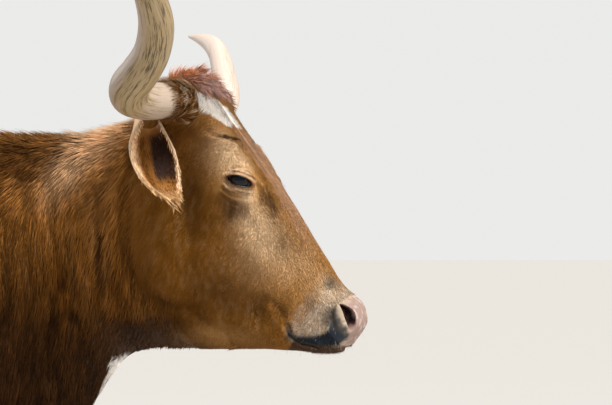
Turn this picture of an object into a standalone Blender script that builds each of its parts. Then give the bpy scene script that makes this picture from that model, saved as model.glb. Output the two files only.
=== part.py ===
"""A young Texas longhorn cow as a life-size still model.

She stands square on four feet with the head turned a little to her right.
Metres throughout: X runs forward, Y to her left, Z up, and the soles stand at zero.
The whole of her is first shaped straight and symmetric. The neck is bent at the end.
"""
import math

import bmesh
import bpy
import numpy as np
from mathutils import Matrix, Vector

# The gap between one node and the next.
GAP = 0.0003

# The straight animal's poll, and how steeply the face falls away in front of it.
POLL = Vector((0.970, 0.0, 1.343))
FACE_SLOPE = math.radians(57.9)

# The neck bends to the right between these two places, and carries the head round with it.
NECK_TURN = math.radians(14.0)
TURN_START = 0.66
TURN_END = 0.885

# The slanted cut that parts the neck from the torso: its top and its lower end (x, z).
NECK_CUT_TOP = (0.47, 1.26)
NECK_CUT_LOW = (0.66, 0.66)

# The trunk and neck from the rump forward: x, then the top, the bottom, the half width and the
# level of greatest width, and how square the section is above and below that level.
TRUNK = [
    (-0.835, 1.150, 1.000, 0.030, 1.08, 2.00, 2.00),
    (-0.800, 1.195, 0.860, 0.105, 1.07, 2.40, 2.00),
    (-0.700, 1.238, 0.740, 0.175, 1.02, 2.30, 2.00),
    (-0.560, 1.268, 0.700, 0.215, 1.03, 2.20, 2.00),
    (-0.420, 1.275, 0.665, 0.238, 1.04, 2.50, 2.10),
    (-0.260, 1.258, 0.635, 0.245, 0.93, 2.20, 2.10),
    (-0.050, 1.242, 0.605, 0.275, 0.90, 2.10, 2.20),
    (0.150, 1.240, 0.595, 0.270, 0.90, 2.00, 2.20),
    (0.320, 1.255, 0.600, 0.235, 0.90, 1.80, 2.10),
    (0.440, 1.264, 0.615, 0.215, 0.90, 1.70, 2.00),
    (0.560, 1.258, 0.630, 0.195, 0.92, 1.80, 1.70),
    (0.660, 1.255, 0.655, 0.155, 1.00, 1.90, 1.25),
    (0.720, 1.255, 0.705, 0.130, 1.04, 2.00, 1.20),
    (0.780, 1.257, 0.800, 0.112, 1.07, 2.05, 1.35),
    (0.840, 1.275, 0.886, 0.102, 1.08, 2.10, 1.60),
    (0.900, 1.298, 0.905, 0.094, 1.09, 2.20, 1.90),
    (0.960, 1.315, 0.960, 0.080, 1.11, 2.20, 2.00),
    (0.985, 1.250, 1.000, 0.050, 1.12, 2.00, 2.00),
]

# The head from the poll down to the muzzle, in the face's own frame: how far down the face,
# then the same six values, measured out from the line of the face.
FACE = [
    (-0.020, -0.010, -0.060, 0.030, -0.035, 2.0, 2.0),
    (-0.006, 0.000, -0.080, 0.062, -0.035, 2.6, 2.2),
    (0.024, 0.004, -0.110, 0.080, -0.036, 3.2, 2.2),
    (0.070, 0.005, -0.135, 0.088, -0.036, 3.6, 2.2),
    (0.120, 0.008, -0.160, 0.094, -0.034, 3.6, 2.1),
    (0.180, 0.012, -0.185, 0.098, -0.036, 3.0, 2.0),
    (0.240, 0.017, -0.203, 0.084, -0.062, 2.5, 2.3),
    (0.300, 0.019, -0.207, 0.073, -0.085, 2.2, 2.4),
    (0.350, 0.020, -0.193, 0.062, -0.080, 2.2, 2.2),
    (0.400, 0.019, -0.163, 0.056, -0.066, 2.4, 2.1),
    (0.435, 0.018, -0.125, 0.060, -0.047, 2.8, 2.2),
    (0.462, 0.019, -0.083, 0.060, -0.036, 3.0, 2.4),
    (0.479, 0.009, -0.060, 0.050, -0.030, 2.8, 2.4),
    (0.488, -0.010, -0.045, 0.028, -0.029, 2.2, 2.2),
]

# The loose skin that hangs between the jaws and runs back into the dewlap: x, then as the trunk.
THROAT = [
    (0.800, 1.020, 0.890, 0.040, 0.990, 2.0, 1.6),
    (0.860, 1.000, 0.899, 0.052, 0.970, 2.0, 1.6),
    (0.940, 1.000, 0.900, 0.054, 0.960, 2.0, 1.7),
    (1.000, 0.985, 0.902, 0.048, 0.955, 2.0, 1.7),
    (1.060, 0.970, 0.906, 0.040, 0.950, 2.0, 1.7),
    (1.110, 0.955, 0.910, 0.032, 0.938, 2.0, 1.8),
    (1.140, 0.950, 0.918, 0.020, 0.934, 2.0, 2.0),
]

# The legs from the top down: z, then x, y, and the half length and half width of the section.
FORELEG = [
    (0.950, 0.500, 0.130, 0.130, 0.070),
    (0.780, 0.440, 0.145, 0.105, 0.065),
    (0.660, 0.420, 0.145, 0.075, 0.052),
    (0.520, 0.425, 0.140, 0.052, 0.042),
    (0.420, 0.430, 0.137, 0.040, 0.038),
    (0.365, 0.437, 0.137, 0.043, 0.042),
    (0.310, 0.430, 0.137, 0.034, 0.033),
    (0.200, 0.430, 0.137, 0.028, 0.025),
    (0.140, 0.432, 0.137, 0.037, 0.035),
    (0.100, 0.448, 0.137, 0.032, 0.034),
    (0.060, 0.462, 0.137, 0.042, 0.044),
    (0.025, 0.470, 0.137, 0.044, 0.044),
]
HINDLEG = [
    (1.000, -0.600, 0.120, 0.190, 0.090),
    (0.850, -0.600, 0.150, 0.180, 0.075),
    (0.740, -0.575, 0.155, 0.150, 0.068),
    (0.640, -0.600, 0.150, 0.105, 0.055),
    (0.550, -0.645, 0.145, 0.070, 0.042),
    (0.480, -0.690, 0.140, 0.055, 0.035),
    (0.430, -0.705, 0.140, 0.058, 0.040),
    (0.370, -0.695, 0.140, 0.040, 0.035),
    (0.250, -0.685, 0.140, 0.030, 0.027),
    (0.145, -0.680, 0.140, 0.038, 0.036),
    (0.100, -0.665, 0.140, 0.033, 0.034),
    (0.060, -0.650, 0.140, 0.042, 0.043),
    (0.025, -0.642, 0.140, 0.044, 0.043),
]

# How far each foot stands forward of its plain place. The leg leans to it from this height.
LEG_STEP = {
    "foreleg_right": 0.04,
    "foreleg_left": -0.05,
    "hindleg_right": -0.07,
    "hindleg_left": 0.05,
}
LEG_PIVOT = 0.80

# The upright column that parts each leg from the torso: centre x, y, half sizes, and its top.
FORE_COLUMN = (0.43, 0.150, 0.120, 0.085, 0.74)
HIND_COLUMN = (-0.60, 0.160, 0.220, 0.120, 0.78)

# The foot: the hair line above the claws runs from this height in front to this one behind.
CORONET_FRONT = 0.068
CORONET_HEEL = 0.046
CLAW_REACH = (0.062, -0.047)
CLAW_WIDTH = 0.044
CLEFT = 0.005
DEWCLAW_LEVEL = 0.112

# The eye, and the opening between its lids.
EYE_PLACE = (0.185, -0.018, 0.078)
EYE_RADIUS = 0.0205
EYE_OPENING = (0.0420, 0.0195)
EYE_SLANT = (0.78, 0.63)

# Each horn's route: forward of the poll, outward, above the horn's root level, and its radius.
HORN_LEVEL = 1.335
HORN_RIGHT = [
    (-0.012, 0.055, -0.027, 0.0270),
    (-0.016, 0.100, -0.031, 0.0270),
    (-0.029, 0.153, -0.037, 0.0285),
    (-0.040, 0.197, -0.039, 0.0295),
    (-0.046, 0.228, -0.034, 0.0300),
    (-0.038, 0.250, -0.023, 0.0295),
    (-0.016, 0.269, -0.006, 0.0285),
    (0.011, 0.292, 0.021, 0.0268),
    (0.028, 0.320, 0.055, 0.0258),
    (0.033, 0.355, 0.087, 0.0228),
    (0.029, 0.400, 0.122, 0.0190),
    (0.010, 0.445, 0.152, 0.0140),
    (-0.022, 0.482, 0.170, 0.0085),
    (-0.052, 0.505, 0.177, 0.0028),
]
HORN_LEFT = [
    (-0.012, 0.055, -0.027, 0.0270),
    (-0.010, 0.120, -0.024, 0.0265),
    (-0.026, 0.200, 0.010, 0.0240),
    (-0.047, 0.255, 0.046, 0.0212),
    (-0.064, 0.290, 0.076, 0.0192),
    (-0.084, 0.320, 0.103, 0.0160),
    (-0.107, 0.345, 0.119, 0.0105),
    (-0.128, 0.362, 0.127, 0.0028),
]

# The ear: its root on the face, its run to the tip, and the way its cup opens.
EAR_ROOT = (0.033, -0.0925, 0.093)
EAR_RUN = (0.078, 0.122, -0.1225)
EAR_OPENS = (0.58, 0.40, 0.70)
EAR_THICKNESS = 0.006
# Along the ear: half width, and how far round the cup the section wraps.
EAR_SHAPE = [
    (0.00, 0.020, 2.50),
    (0.12, 0.026, 2.10),
    (0.30, 0.038, 1.60),
    (0.52, 0.041, 1.30),
    (0.74, 0.033, 1.15),
    (0.90, 0.019, 1.05),
    (1.00, 0.004, 1.00),
]

# The tail: its route and radius, and the height at which its switch of long hair starts.
TAIL = [
    (-0.750, 0.0, 1.212, 0.040),
    (-0.812, 0.0, 1.192, 0.036),
    (-0.860, 0.0, 1.135, 0.029),
    (-0.880, 0.0, 1.020, 0.022),
    (-0.882, 0.0, 0.840, 0.016),
    (-0.882, 0.0, 0.600, 0.012),
]
SWITCH_TOP = 0.70
SWITCH_TIP = 0.28

# The hair of the poll: rows of locks ahead of the poll, how many in a row, and a lock's size.
POLL_ROWS = (-0.088, -0.069, -0.050, -0.031, -0.012, 0.006)
POLL_ROW_LOCKS = 8
POLL_HALF_WIDTH = 0.052
POLL_LOCK = (0.043, 0.0165, 0.0060)
# The switch: rows of locks down its core, how many in a row, and a lock's size.
SWITCH_ROWS = (0.655, 0.585, 0.505, 0.425)
SWITCH_ROW_LOCKS = 5
SWITCH_LOCK = (0.215, 0.0300, 0.0080)

UDDER_PLACE = (-0.500, 0.0, 0.668)
UDDER_SIZE = (0.120, 0.080, 0.072)
TEAT_SPREAD = (0.045, 0.038)

# Swellings and hollows of the head: place in the face's frame, reach, and height.
HEAD_FORMS = [
    ((0.165, -0.012, 0.088), 0.038, 0.006),
    ((0.085, -0.055, 0.090), 0.040, -0.008),
    ((0.235, -0.020, 0.060), 0.035, -0.006),
    ((0.260, -0.150, 0.075), 0.060, 0.008),
    ((0.270, -0.068, 0.078), 0.022, 0.003),
    ((0.310, -0.060, 0.070), 0.022, 0.003),
    ((0.330, -0.020, 0.050), 0.040, -0.005),
    ((0.450, -0.008, 0.045), 0.022, 0.007),
    ((0.455, -0.060, 0.045), 0.030, 0.004),
]
# And of the body: place, reach, and height. Each has its twin on the other side.
BODY_FORMS = [
    ((-0.430, 0.200, 1.200), 0.050, 0.020),
    ((-0.790, 0.100, 1.120), 0.040, 0.015),
    ((-0.780, 0.000, 1.225), 0.050, 0.012),
    ((-0.360, 0.220, 1.000), 0.090, -0.025),
    ((0.260, 0.230, 1.000), 0.070, -0.015),
    ((0.500, 0.170, 0.980), 0.100, 0.020),
    ((0.600, 0.140, 0.880), 0.050, 0.020),
    ((-0.450, 0.170, 0.780), 0.050, 0.015),
    ((-0.735, 0.140, 0.455), 0.030, 0.012),
]
# The line of the mouth from its corner to the middle of the lips, in the face's frame.
MOUTH = [
    (0.415, -0.090, 0.057),
    (0.432, -0.094, 0.060),
    (0.453, -0.087, 0.054),
    (0.470, -0.069, 0.040),
    (0.483, -0.047, 0.000),
]
MOUTH_GROOVE = 0.0034
NOSTRIL = (0.452, 0.002, 0.043)
NOSTRIL_SIZE = (0.0185, 0.0090)

# Fineness of the fused body, and the triangles that each node keeps.
VOXEL = 0.0085
BUDGET = {
    "head": 2300,
    "neck": 720,
    "torso": 1500,
    "leg": 480,
}

COLOURS = {
    "coat": (0.36, 0.135, 0.045, 1.0),
    "coat_dark": (0.17, 0.055, 0.022, 1.0),
    "horn": (0.62, 0.54, 0.40, 1.0),
    "eye": (0.010, 0.010, 0.014, 1.0),
    "claw": (0.055, 0.045, 0.040, 1.0),
    "skin": (0.60, 0.38, 0.32, 1.0),
}
ROUGHNESS = {
    "coat": 0.75,
    "coat_dark": 0.75,
    "horn": 0.40,
    "eye": 0.08,
    "claw": 0.45,
    "skin": 0.60,
}
SIDES = {"right": -1.0, "left": 1.0}


def clear_scene():
    """Removes whatever the file opened with."""
    for obj in list(bpy.data.objects):
        bpy.data.objects.remove(obj, do_unlink=True)


def face(down, out, across):
    """A point of the straight animal, given in the face's own frame."""
    return Vector((
        POLL.x + down * math.cos(FACE_SLOPE) + out * math.sin(FACE_SLOPE),
        across,
        POLL.z - down * math.sin(FACE_SLOPE) + out * math.cos(FACE_SLOPE),
    ))


def smooth_through(stations, where):
    """Rows of a table of stations, read at other places along its first column."""
    table = np.array(stations, float)
    at = table[:, 0]
    values = table[:, 1:]
    slopes = np.gradient(values, at, axis=0)
    i = np.clip(np.searchsorted(at, where, side="right") - 1, 0, len(at) - 2)
    step = (at[i + 1] - at[i])[:, None]
    t = (where - at[i])[:, None] / step
    first = values[i] * (1 + 2 * t) * (1 - t) ** 2 + slopes[i] * step * t * (1 - t) ** 2
    second = values[i + 1] * t * t * (3 - 2 * t) - slopes[i + 1] * step * t * t * (1 - t)
    return first + second


def smooth_route(points, count):
    """Points at even steps along a smooth line through the given ones, which may carry a radius."""
    points = np.array(points, float)
    steps = np.linalg.norm(np.diff(points[:, :3], axis=0), axis=1)
    along = np.concatenate([[0.0], np.cumsum(steps)])
    stations = np.column_stack([along, points])
    return smooth_through(stations, np.linspace(0.0, along[-1], count))


def outlines(rows, count):
    """Cross-sections (across, up) from rows of top, bottom, half width, level and squareness."""
    top, bottom, width, level, upper, lower = rows.T[:, :, None]
    turn = np.arange(count) * 2 * math.pi / count
    side = np.sin(turn)[None, :]
    rise = np.cos(turn)[None, :]
    power = np.where(rise >= 0, 2 / upper, 2 / lower)
    reach = np.where(rise >= 0, top - level, level - bottom)
    across = width * np.sign(side) * np.abs(side) ** power
    up = level + reach * np.sign(rise) * np.abs(rise) ** power
    return across, up


def add_object(name, mesh):
    """Puts a mesh in the scene as an object of that name."""
    obj = bpy.data.objects.new(name, mesh)
    bpy.context.scene.collection.objects.link(obj)
    return obj


def remove_object(obj):
    """Takes a piece that has done its work out of the file."""
    bpy.data.objects.remove(obj, do_unlink=True)


def loft(name, rings):
    """A closed surface through a row of rings that all have the same number of points."""
    rows, count, _ = rings.shape
    form = bmesh.new()
    points = [form.verts.new(p) for p in rings.reshape(-1, 3)]
    for i in range(rows - 1):
        for j in range(count):
            k = (j + 1) % count
            a = i * count
            b = a + count
            form.faces.new((points[a + j], points[a + k], points[b + k], points[b + j]))
    form.faces.new(points[:count])
    form.faces.new(points[-count:])
    bmesh.ops.recalc_face_normals(form, faces=form.faces)
    mesh = bpy.data.meshes.new(name)
    form.to_mesh(mesh)
    form.free()
    return add_object(name, mesh)


def settle(obj):
    """Applies an object's modifiers."""
    depsgraph = bpy.context.evaluated_depsgraph_get()
    shape = bpy.data.meshes.new_from_object(obj.evaluated_get(depsgraph))
    obj.modifiers.clear()
    obj.data = shape
    return obj


def copy_of(obj, name):
    """A copy of an object with a mesh of its own."""
    return add_object(name, obj.data.copy())


def joined(name, pieces):
    """Several pieces as one mesh, not yet fused."""
    form = bmesh.new()
    for piece in pieces:
        form.from_mesh(piece.data)
        remove_object(piece)
    mesh = bpy.data.meshes.new(name)
    form.to_mesh(mesh)
    form.free()
    return add_object(name, mesh)


def trim(obj, place, normal):
    """Cuts away what lies beyond a plane, on the side its normal points to, and caps the cut."""
    form = bmesh.new()
    form.from_mesh(obj.data)
    everything = form.verts[:] + form.edges[:] + form.faces[:]
    bmesh.ops.bisect_plane(
        form, geom=everything, plane_co=place, plane_no=normal, dist=1e-6, clear_outer=True
    )
    rim = [edge for edge in form.edges if edge.is_boundary]
    bmesh.ops.holes_fill(form, edges=rim, sides=0)
    bmesh.ops.recalc_face_normals(form, faces=form.faces)
    form.to_mesh(obj.data)
    form.free()
    return obj


def keep_largest(obj):
    """Keeps only an object's largest closed surface."""
    form = bmesh.new()
    form.from_mesh(obj.data)
    unseen = set(form.verts)
    islands = []
    while unseen:
        front = [unseen.pop()]
        island = set(front)
        while front:
            for edge in front.pop().link_edges:
                for vert in edge.verts:
                    if vert in unseen:
                        unseen.discard(vert)
                        island.add(vert)
                        front.append(vert)
        islands.append(island)
    islands.sort(key=len)
    scraps = [vert for island in islands[:-1] for vert in island]
    bmesh.ops.delete(form, geom=scraps, context="VERTS")
    bmesh.ops.recalc_face_normals(form, faces=form.faces)
    form.to_mesh(obj.data)
    form.free()
    return obj


def boolean(obj, operation, tool, solver="EXACT"):
    """Joins, cuts or crosses an object with a tool, which stays in the file."""
    cut = obj.modifiers.new("cut", "BOOLEAN")
    cut.operation = operation
    cut.solver = solver
    cut.object = tool
    settle(obj)
    return keep_largest(obj)


def grown(obj, amount, name):
    """A copy of an object grown outward by a small amount, as a cutter that leaves a gap."""
    tool = copy_of(obj, name)
    swell = tool.modifiers.new("swell", "DISPLACE")
    swell.strength = amount
    swell.mid_level = 0.0
    return settle(tool)


def thinned(obj, triangles):
    """Reduces an object to about a number of triangles."""
    now = sum(len(p.vertices) - 2 for p in obj.data.polygons)
    thin = obj.modifiers.new("thin", "DECIMATE")
    thin.ratio = min(1.0, triangles / now)
    thin.use_collapse_triangulate = True
    return settle(obj)


def coordinates(obj):
    """An object's points as an array."""
    points = np.empty(len(obj.data.vertices) * 3)
    obj.data.vertices.foreach_get("co", points)
    return points.reshape(-1, 3)


def normals(obj):
    """An object's point normals as an array."""
    values = np.empty(len(obj.data.vertices) * 3)
    obj.data.vertices.foreach_get("normal", values)
    return values.reshape(-1, 3)


def set_coordinates(obj, points):
    """Moves an object's points."""
    obj.data.vertices.foreach_set("co", points.ravel())
    obj.data.update()


def swell(obj, forms):
    """Raises or hollows the surface softly round each of a list of places."""
    points = coordinates(obj)
    outward = normals(obj)
    moved = points.copy()
    for place, reach, height in forms:
        far = np.linalg.norm(points - np.array(place), axis=1) / reach
        lift = height * np.exp(-0.5 * (far * 1.6) ** 2)
        moved += outward * lift[:, None]
    set_coordinates(obj, moved)
    return obj


def both_sides(forms):
    """A list of forms with its mirror twins, and those on the middle line once."""
    mirrored = [((p[0], -p[1], p[2]), reach, height) for p, reach, height in forms if p[1]]
    return list(forms) + mirrored


def near_line(points, line):
    """How far each point lies from a broken line."""
    best = np.full(len(points), np.inf)
    for a, b in zip(line[:-1], line[1:]):
        run = b - a
        t = np.clip((points - a) @ run / (run @ run), 0.0, 1.0)
        best = np.minimum(best, np.linalg.norm(points - (a + t[:, None] * run), axis=1))
    return best


def lengthwise_form(name, stations, count):
    """A loft from rear to front through upright cross-sections."""
    along = np.linspace(stations[0][0], stations[-1][0], count)
    across, up = outlines(smooth_through(stations, along), 64)
    lengthwise = np.broadcast_to(along[:, None], across.shape)
    return loft(name, np.stack([lengthwise, across, up], axis=-1))


def head_form():
    """The head as one loft down the line of the face."""
    along = np.linspace(FACE[0][0], FACE[-1][0], 66)
    across, out = outlines(smooth_through(FACE, along), 56)
    x = POLL.x + along[:, None] * math.cos(FACE_SLOPE) + out * math.sin(FACE_SLOPE)
    z = POLL.z - along[:, None] * math.sin(FACE_SLOPE) + out * math.cos(FACE_SLOPE)
    return loft("head_form", np.stack([x, across, z], axis=-1))


def lean(name, height):
    """How far a leg's section at some height stands forward of its plain place."""
    return LEG_STEP[name] * np.maximum(0.0, 1.0 - np.asarray(height) / LEG_PIVOT)


def leg_form(name):
    """A leg from inside the trunk down into the foot."""
    stations = sorted(FORELEG) if name.startswith("fore") else sorted(HINDLEG)
    side = SIDES[name.split("_")[1]]
    heights = np.linspace(stations[0][0], stations[-1][0], 60)
    x, y, length, width = smooth_through(stations, heights).T[:, :, None]
    turn = (np.arange(28) * 2 * math.pi / 28)[None, :]
    level = np.broadcast_to(heights[:, None], (60, 28))
    forward = x + lean(name, heights)[:, None] + length * np.cos(turn)
    sideways = side * y + width * np.sin(turn)
    return loft(name + "_form", np.stack([forward, sideways, level], axis=-1))


def smoothing_weight(points):
    """How strongly each place is smoothed: most where limbs and head join, least on the face."""
    x, y, z = points.T
    weight = np.full(len(points), 0.45)
    weight = np.where(z < 0.52, 0.18, weight)
    weight = np.where((z > 0.52) & (z < 0.84), 0.85, weight)
    forward_of_neck = (x - POLL.x) * math.sin(FACE_SLOPE) + (z - POLL.z) * math.cos(FACE_SLOPE)
    on_face = (x > 0.93) & (forward_of_neck > -0.13)
    weight = np.where(on_face, 0.10, weight)
    junction = (x > 0.80) & (x < 0.955) & ~on_face
    return np.where(junction, 0.8, weight)


def whole_body():
    """Trunk, head and legs fused into one smooth surface."""
    pieces = [lengthwise_form("trunk_form", TRUNK, 92), lengthwise_form("throat_form", THROAT, 30)]
    pieces = pieces + [head_form()] + [leg_form(name) for name in LEG_STEP]
    body = joined("body_form", pieces)
    fuse = body.modifiers.new("fuse", "REMESH")
    fuse.mode = "VOXEL"
    fuse.voxel_size = VOXEL
    settle(body)
    group = body.vertex_groups.new(name="soft")
    for index, weight in enumerate(smoothing_weight(coordinates(body))):
        group.add([index], float(weight), "REPLACE")
    soften = body.modifiers.new("soften", "SMOOTH")
    soften.factor = 0.5
    soften.iterations = 16
    soften.vertex_group = group.name
    settle(body)
    swell(body, both_sides(BODY_FORMS))
    return body


def neck_cut():
    """The middle and the forward normal of the plane that parts neck and torso."""
    top = Vector((NECK_CUT_TOP[0], 0.0, NECK_CUT_TOP[1]))
    low = Vector((NECK_CUT_LOW[0], 0.0, NECK_CUT_LOW[1]))
    run = low - top
    return (top + low) / 2, Vector((-run.z, 0.0, run.x)).normalized()


def column(name, size, side, margin):
    """The upright rounded column that parts a leg from the torso."""
    x, y, half_length, half_width, top = size
    rows = [(-0.05, 1.0), (top - 0.06, 1.0), (top - 0.018, 0.94), (top, 0.80)]
    turn = np.arange(24) * 2 * math.pi / 24
    rings = []
    for height, share in rows:
        ring = np.stack([
            x + (half_length * share + margin) * np.cos(turn),
            side * y + (half_width * share + margin) * np.sin(turn),
            np.full(24, height + margin),
        ], axis=-1)
        rings.append(ring)
    return loft(name, np.array(rings))


def coronet_plane(x):
    """The slanted plane between hair and claws of a foot whose middle is at x."""
    fall = (CORONET_FRONT - CORONET_HEEL) / (CLAW_REACH[0] - CLAW_REACH[1])
    middle = CORONET_HEEL - fall * CLAW_REACH[1]
    return Vector((x, 0.0, middle)), Vector((-fall, 0.0, 1.0)).normalized()


def foot_middle(name):
    """Where a foot's middle stands on the ground."""
    x = 0.468 if name.startswith("fore") else -0.644
    y = 0.137 if name.startswith("fore") else 0.140
    return x + float(lean(name, 0.03)), SIDES[name.split("_")[1]] * y


def make_leg(body, name):
    """One leg, down to the hair line above its claws."""
    size = FORE_COLUMN if name.startswith("fore") else HIND_COLUMN
    side = SIDES[name.split("_")[1]]
    leg = copy_of(body, name)
    trim(leg, (0, 0, size[4] + 0.05), (0, 0, 1))
    trim(leg, (size[0] - size[2] - 0.05, 0, 0), (-1, 0, 0))
    trim(leg, (size[0] + size[2] + 0.05, 0, 0), (1, 0, 0))
    trim(leg, (0, side * 0.012, 0), (0, -side, 0))
    thinned(leg, BUDGET["leg"])
    tool = column("leg_column", size, side, 0.0)
    boolean(leg, "INTERSECT", tool)
    remove_object(tool)
    place, normal = coronet_plane(foot_middle(name)[0])
    trim(leg, place + normal * GAP / 2, -normal)
    return keep_largest(leg)


def make_torso(body):
    """The barrel and quarters, with a pocket for the top of each leg."""
    middle, normal = neck_cut()
    torso = copy_of(body, "torso")
    trim(torso, middle + normal * 0.04, normal)
    trim(torso, (0, 0, 0.56), (0, 0, -1))
    thinned(torso, BUDGET["torso"])
    trim(torso, middle - normal * GAP / 2, normal)
    for size in (FORE_COLUMN, HIND_COLUMN):
        for side in SIDES.values():
            tool = column("leg_column", size, side, GAP)
            boolean(torso, "DIFFERENCE", tool)
            remove_object(tool)
    return torso


def make_neck(body):
    """The neck with its dewlap, between the torso and the head."""
    middle, normal = neck_cut()
    neck = copy_of(body, "neck")
    trim(neck, (TURN_END + 0.04, 0, 0), (1, 0, 0))
    trim(neck, middle - normal * 0.04, -normal)
    thinned(neck, BUDGET["neck"])
    trim(neck, (TURN_END - GAP / 2, 0, 0), (1, 0, 0))
    trim(neck, middle + normal * GAP / 2, -normal)
    return keep_largest(neck)


def eye_axes(side):
    """The eye's middle, the line between its corners, the way across it, and the way out."""
    middle = face(EYE_PLACE[0], EYE_PLACE[1], side * EYE_PLACE[2])
    corner = face(EYE_SLANT[0], EYE_SLANT[1], 0.0) - face(0.0, 0.0, 0.0)
    out = Vector((0.22, side * 0.97, 0.08)).normalized()
    along = (corner - out * corner.dot(out)).normalized()
    return middle, along, out.cross(along) * side, out


def raise_lids(head, side):
    """Draws the skin over the eyeball as two lids with a soft edge."""
    middle, along, across, out = eye_axes(side)
    points = coordinates(head)
    offset = points - np.array(middle)
    a = offset @ np.array(along)
    b = offset @ np.array(across)
    c = offset @ np.array(out)
    far = np.sqrt((a / 1.15) ** 2 + b ** 2)
    dome = EYE_RADIUS + 0.0042
    lid = np.sqrt(np.maximum(dome ** 2 - far ** 2, 0.0))
    reach = np.clip((dome - far) / 0.006, 0.0, 1.0)
    raised = np.maximum(c, lid)
    move = np.where((c > -0.01) & (far < dome), (raised - c) * reach, 0.0)
    set_coordinates(head, points + move[:, None] * np.array(out))


def eye_ball(name, side, margin):
    """The eyeball, a little larger where it is the cutter of its own socket."""
    middle, along, across, out = eye_axes(side)
    bpy.ops.mesh.primitive_uv_sphere_add(segments=14, ring_count=8, radius=EYE_RADIUS + margin)
    ball = bpy.context.object
    ball.name = name
    turn = Matrix((along, across, out)).transposed().to_4x4()
    ball.data.transform(Matrix.Translation(middle) @ turn)
    form = bmesh.new()
    form.from_mesh(ball.data)
    bmesh.ops.recalc_face_normals(form, faces=form.faces)
    form.to_mesh(ball.data)
    form.free()
    return ball


def eye_slot(side):
    """The almond between the lids, as a cutter that runs outward from inside the eyeball."""
    middle, along, across, out = eye_axes(side)
    turn = np.arange(20) * 2 * math.pi / 20
    length = EYE_OPENING[0] / 2 * np.sign(np.cos(turn)) * np.abs(np.cos(turn)) ** 0.85
    width = EYE_OPENING[1] / 2 * np.sign(np.sin(turn)) * np.abs(np.sin(turn)) ** 1.25
    rings = []
    for depth, share in ((0.004, 1.0), (EYE_RADIUS + 0.012, 1.12)):
        ring = np.array(middle + out * depth)
        ring = ring + share * length[:, None] * np.array(along)
        ring = ring + share * width[:, None] * np.array(across)
        rings.append(ring)
    return loft("eye_slot", np.array(rings))


def nostril_cutter(side):
    """A comma-shaped pit that runs back and inward into the muzzle."""
    place = face(NOSTRIL[0], NOSTRIL[1], side * NOSTRIL[2])
    inward = Vector((-0.55, -side * 0.80, 0.05)).normalized()
    down = (face(1.0, -0.35, 0.0) - face(0.0, 0.0, 0.0)).normalized()
    across = inward.cross(down).normalized()
    down = across.cross(inward)
    turn = np.arange(12) * 2 * math.pi / 12
    rings = []
    for depth, share in ((-0.018, 1.20), (0.0, 1.0), (0.012, 0.7), (0.022, 0.35)):
        curl = -side * NOSTRIL_SIZE[1] * 0.6 * np.cos(turn) ** 2
        ring = np.array(place + inward * depth)
        ring = ring + share * NOSTRIL_SIZE[0] * np.cos(turn)[:, None] * np.array(down)
        ring = ring + share * (NOSTRIL_SIZE[1] * np.sin(turn) + curl)[:, None] * np.array(across)
        rings.append(ring)
    return loft("nostril_cutter", np.array(rings))


def mouth_cutter(head):
    """The parting of the lips, from one corner round the front to the other."""
    half = smooth_route([face(u, v, across) for u, v, across in MOUTH], 8)
    line = np.concatenate([half * (1, -1, 1), half[-2::-1]])
    route = []
    for i, place in enumerate(line):
        _, surface, normal, _ = head.closest_point_on_mesh(Vector(place))
        from_corner = min(i, len(line) - 1 - i)
        radius = MOUTH_GROOVE * (0.55 + 0.45 * min(1.0, from_corner / 2))
        route.append((*surface, radius))
    return swept("mouth_cutter", route, 1)


def shape_head(head):
    """Bones, hollows, lids, lips and the line of the mouth, on a fine surface."""
    fine = head.modifiers.new("fine", "SUBSURF")
    fine.levels = 1
    fine.render_levels = 1
    settle(head)
    forms = []
    for (down, out, across), reach, height in HEAD_FORMS:
        forms.append((tuple(face(down, out, across)), reach, height))
    swell(head, both_sides(forms))
    for side in SIDES.values():
        raise_lids(head, side)
    points = coordinates(head)
    outward = normals(head)
    lips = np.zeros(len(points))
    for side in SIDES.values():
        line = [np.array(face(u, v, side * across)) for u, v, across in MOUTH]
        far = near_line(points, line)
        lips = np.maximum(lips, np.exp(-((far - 0.010) / 0.007) ** 2))
    set_coordinates(head, points + outward * (0.003 * lips)[:, None])
    return head


def make_head(body):
    """The head without ears, eyes and horns."""
    head = copy_of(body, "head")
    trim(head, (TURN_END - 0.04, 0, 0), (-1, 0, 0))
    shape_head(head)
    thinned(head, BUDGET["head"])
    trim(head, (TURN_END + GAP / 2, 0, 0), (-1, 0, 0))
    keep_largest(head)
    for side in SIDES.values():
        socket = eye_ball("eye_socket", side, GAP)
        slot = eye_slot(side)
        boolean(socket, "UNION", slot)
        remove_object(slot)
        for tool in (socket, nostril_cutter(side)):
            boolean(head, "DIFFERENCE", tool, "MANIFOLD")
            remove_object(tool)
    parting = mouth_cutter(head)
    boolean(head, "DIFFERENCE", parting, "MANIFOLD")
    remove_object(parting)
    return with_locks(head, poll_locks(head))


def swept(name, route, sides_half):
    """A tube along a route whose points each carry a radius."""
    curve = bpy.data.curves.new(name, "CURVE")
    curve.dimensions = "3D"
    curve.bevel_depth = 1.0
    curve.bevel_resolution = sides_half
    curve.use_fill_caps = True
    spline = curve.splines.new("POLY")
    spline.points.add(len(route) - 1)
    for point, (x, y, z, radius) in zip(spline.points, route):
        point.co = (x, y, z, 1.0)
        point.radius = radius
    tube = add_object(name + "_curve", curve)
    depsgraph = bpy.context.evaluated_depsgraph_get()
    mesh = bpy.data.meshes.new_from_object(tube.evaluated_get(depsgraph))
    remove_object(tube)
    form = bmesh.new()
    form.from_mesh(mesh)
    bmesh.ops.remove_doubles(form, verts=form.verts, dist=1e-5)
    bmesh.ops.recalc_face_normals(form, faces=form.faces)
    form.to_mesh(mesh)
    form.free()
    return add_object(name, mesh)


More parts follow.
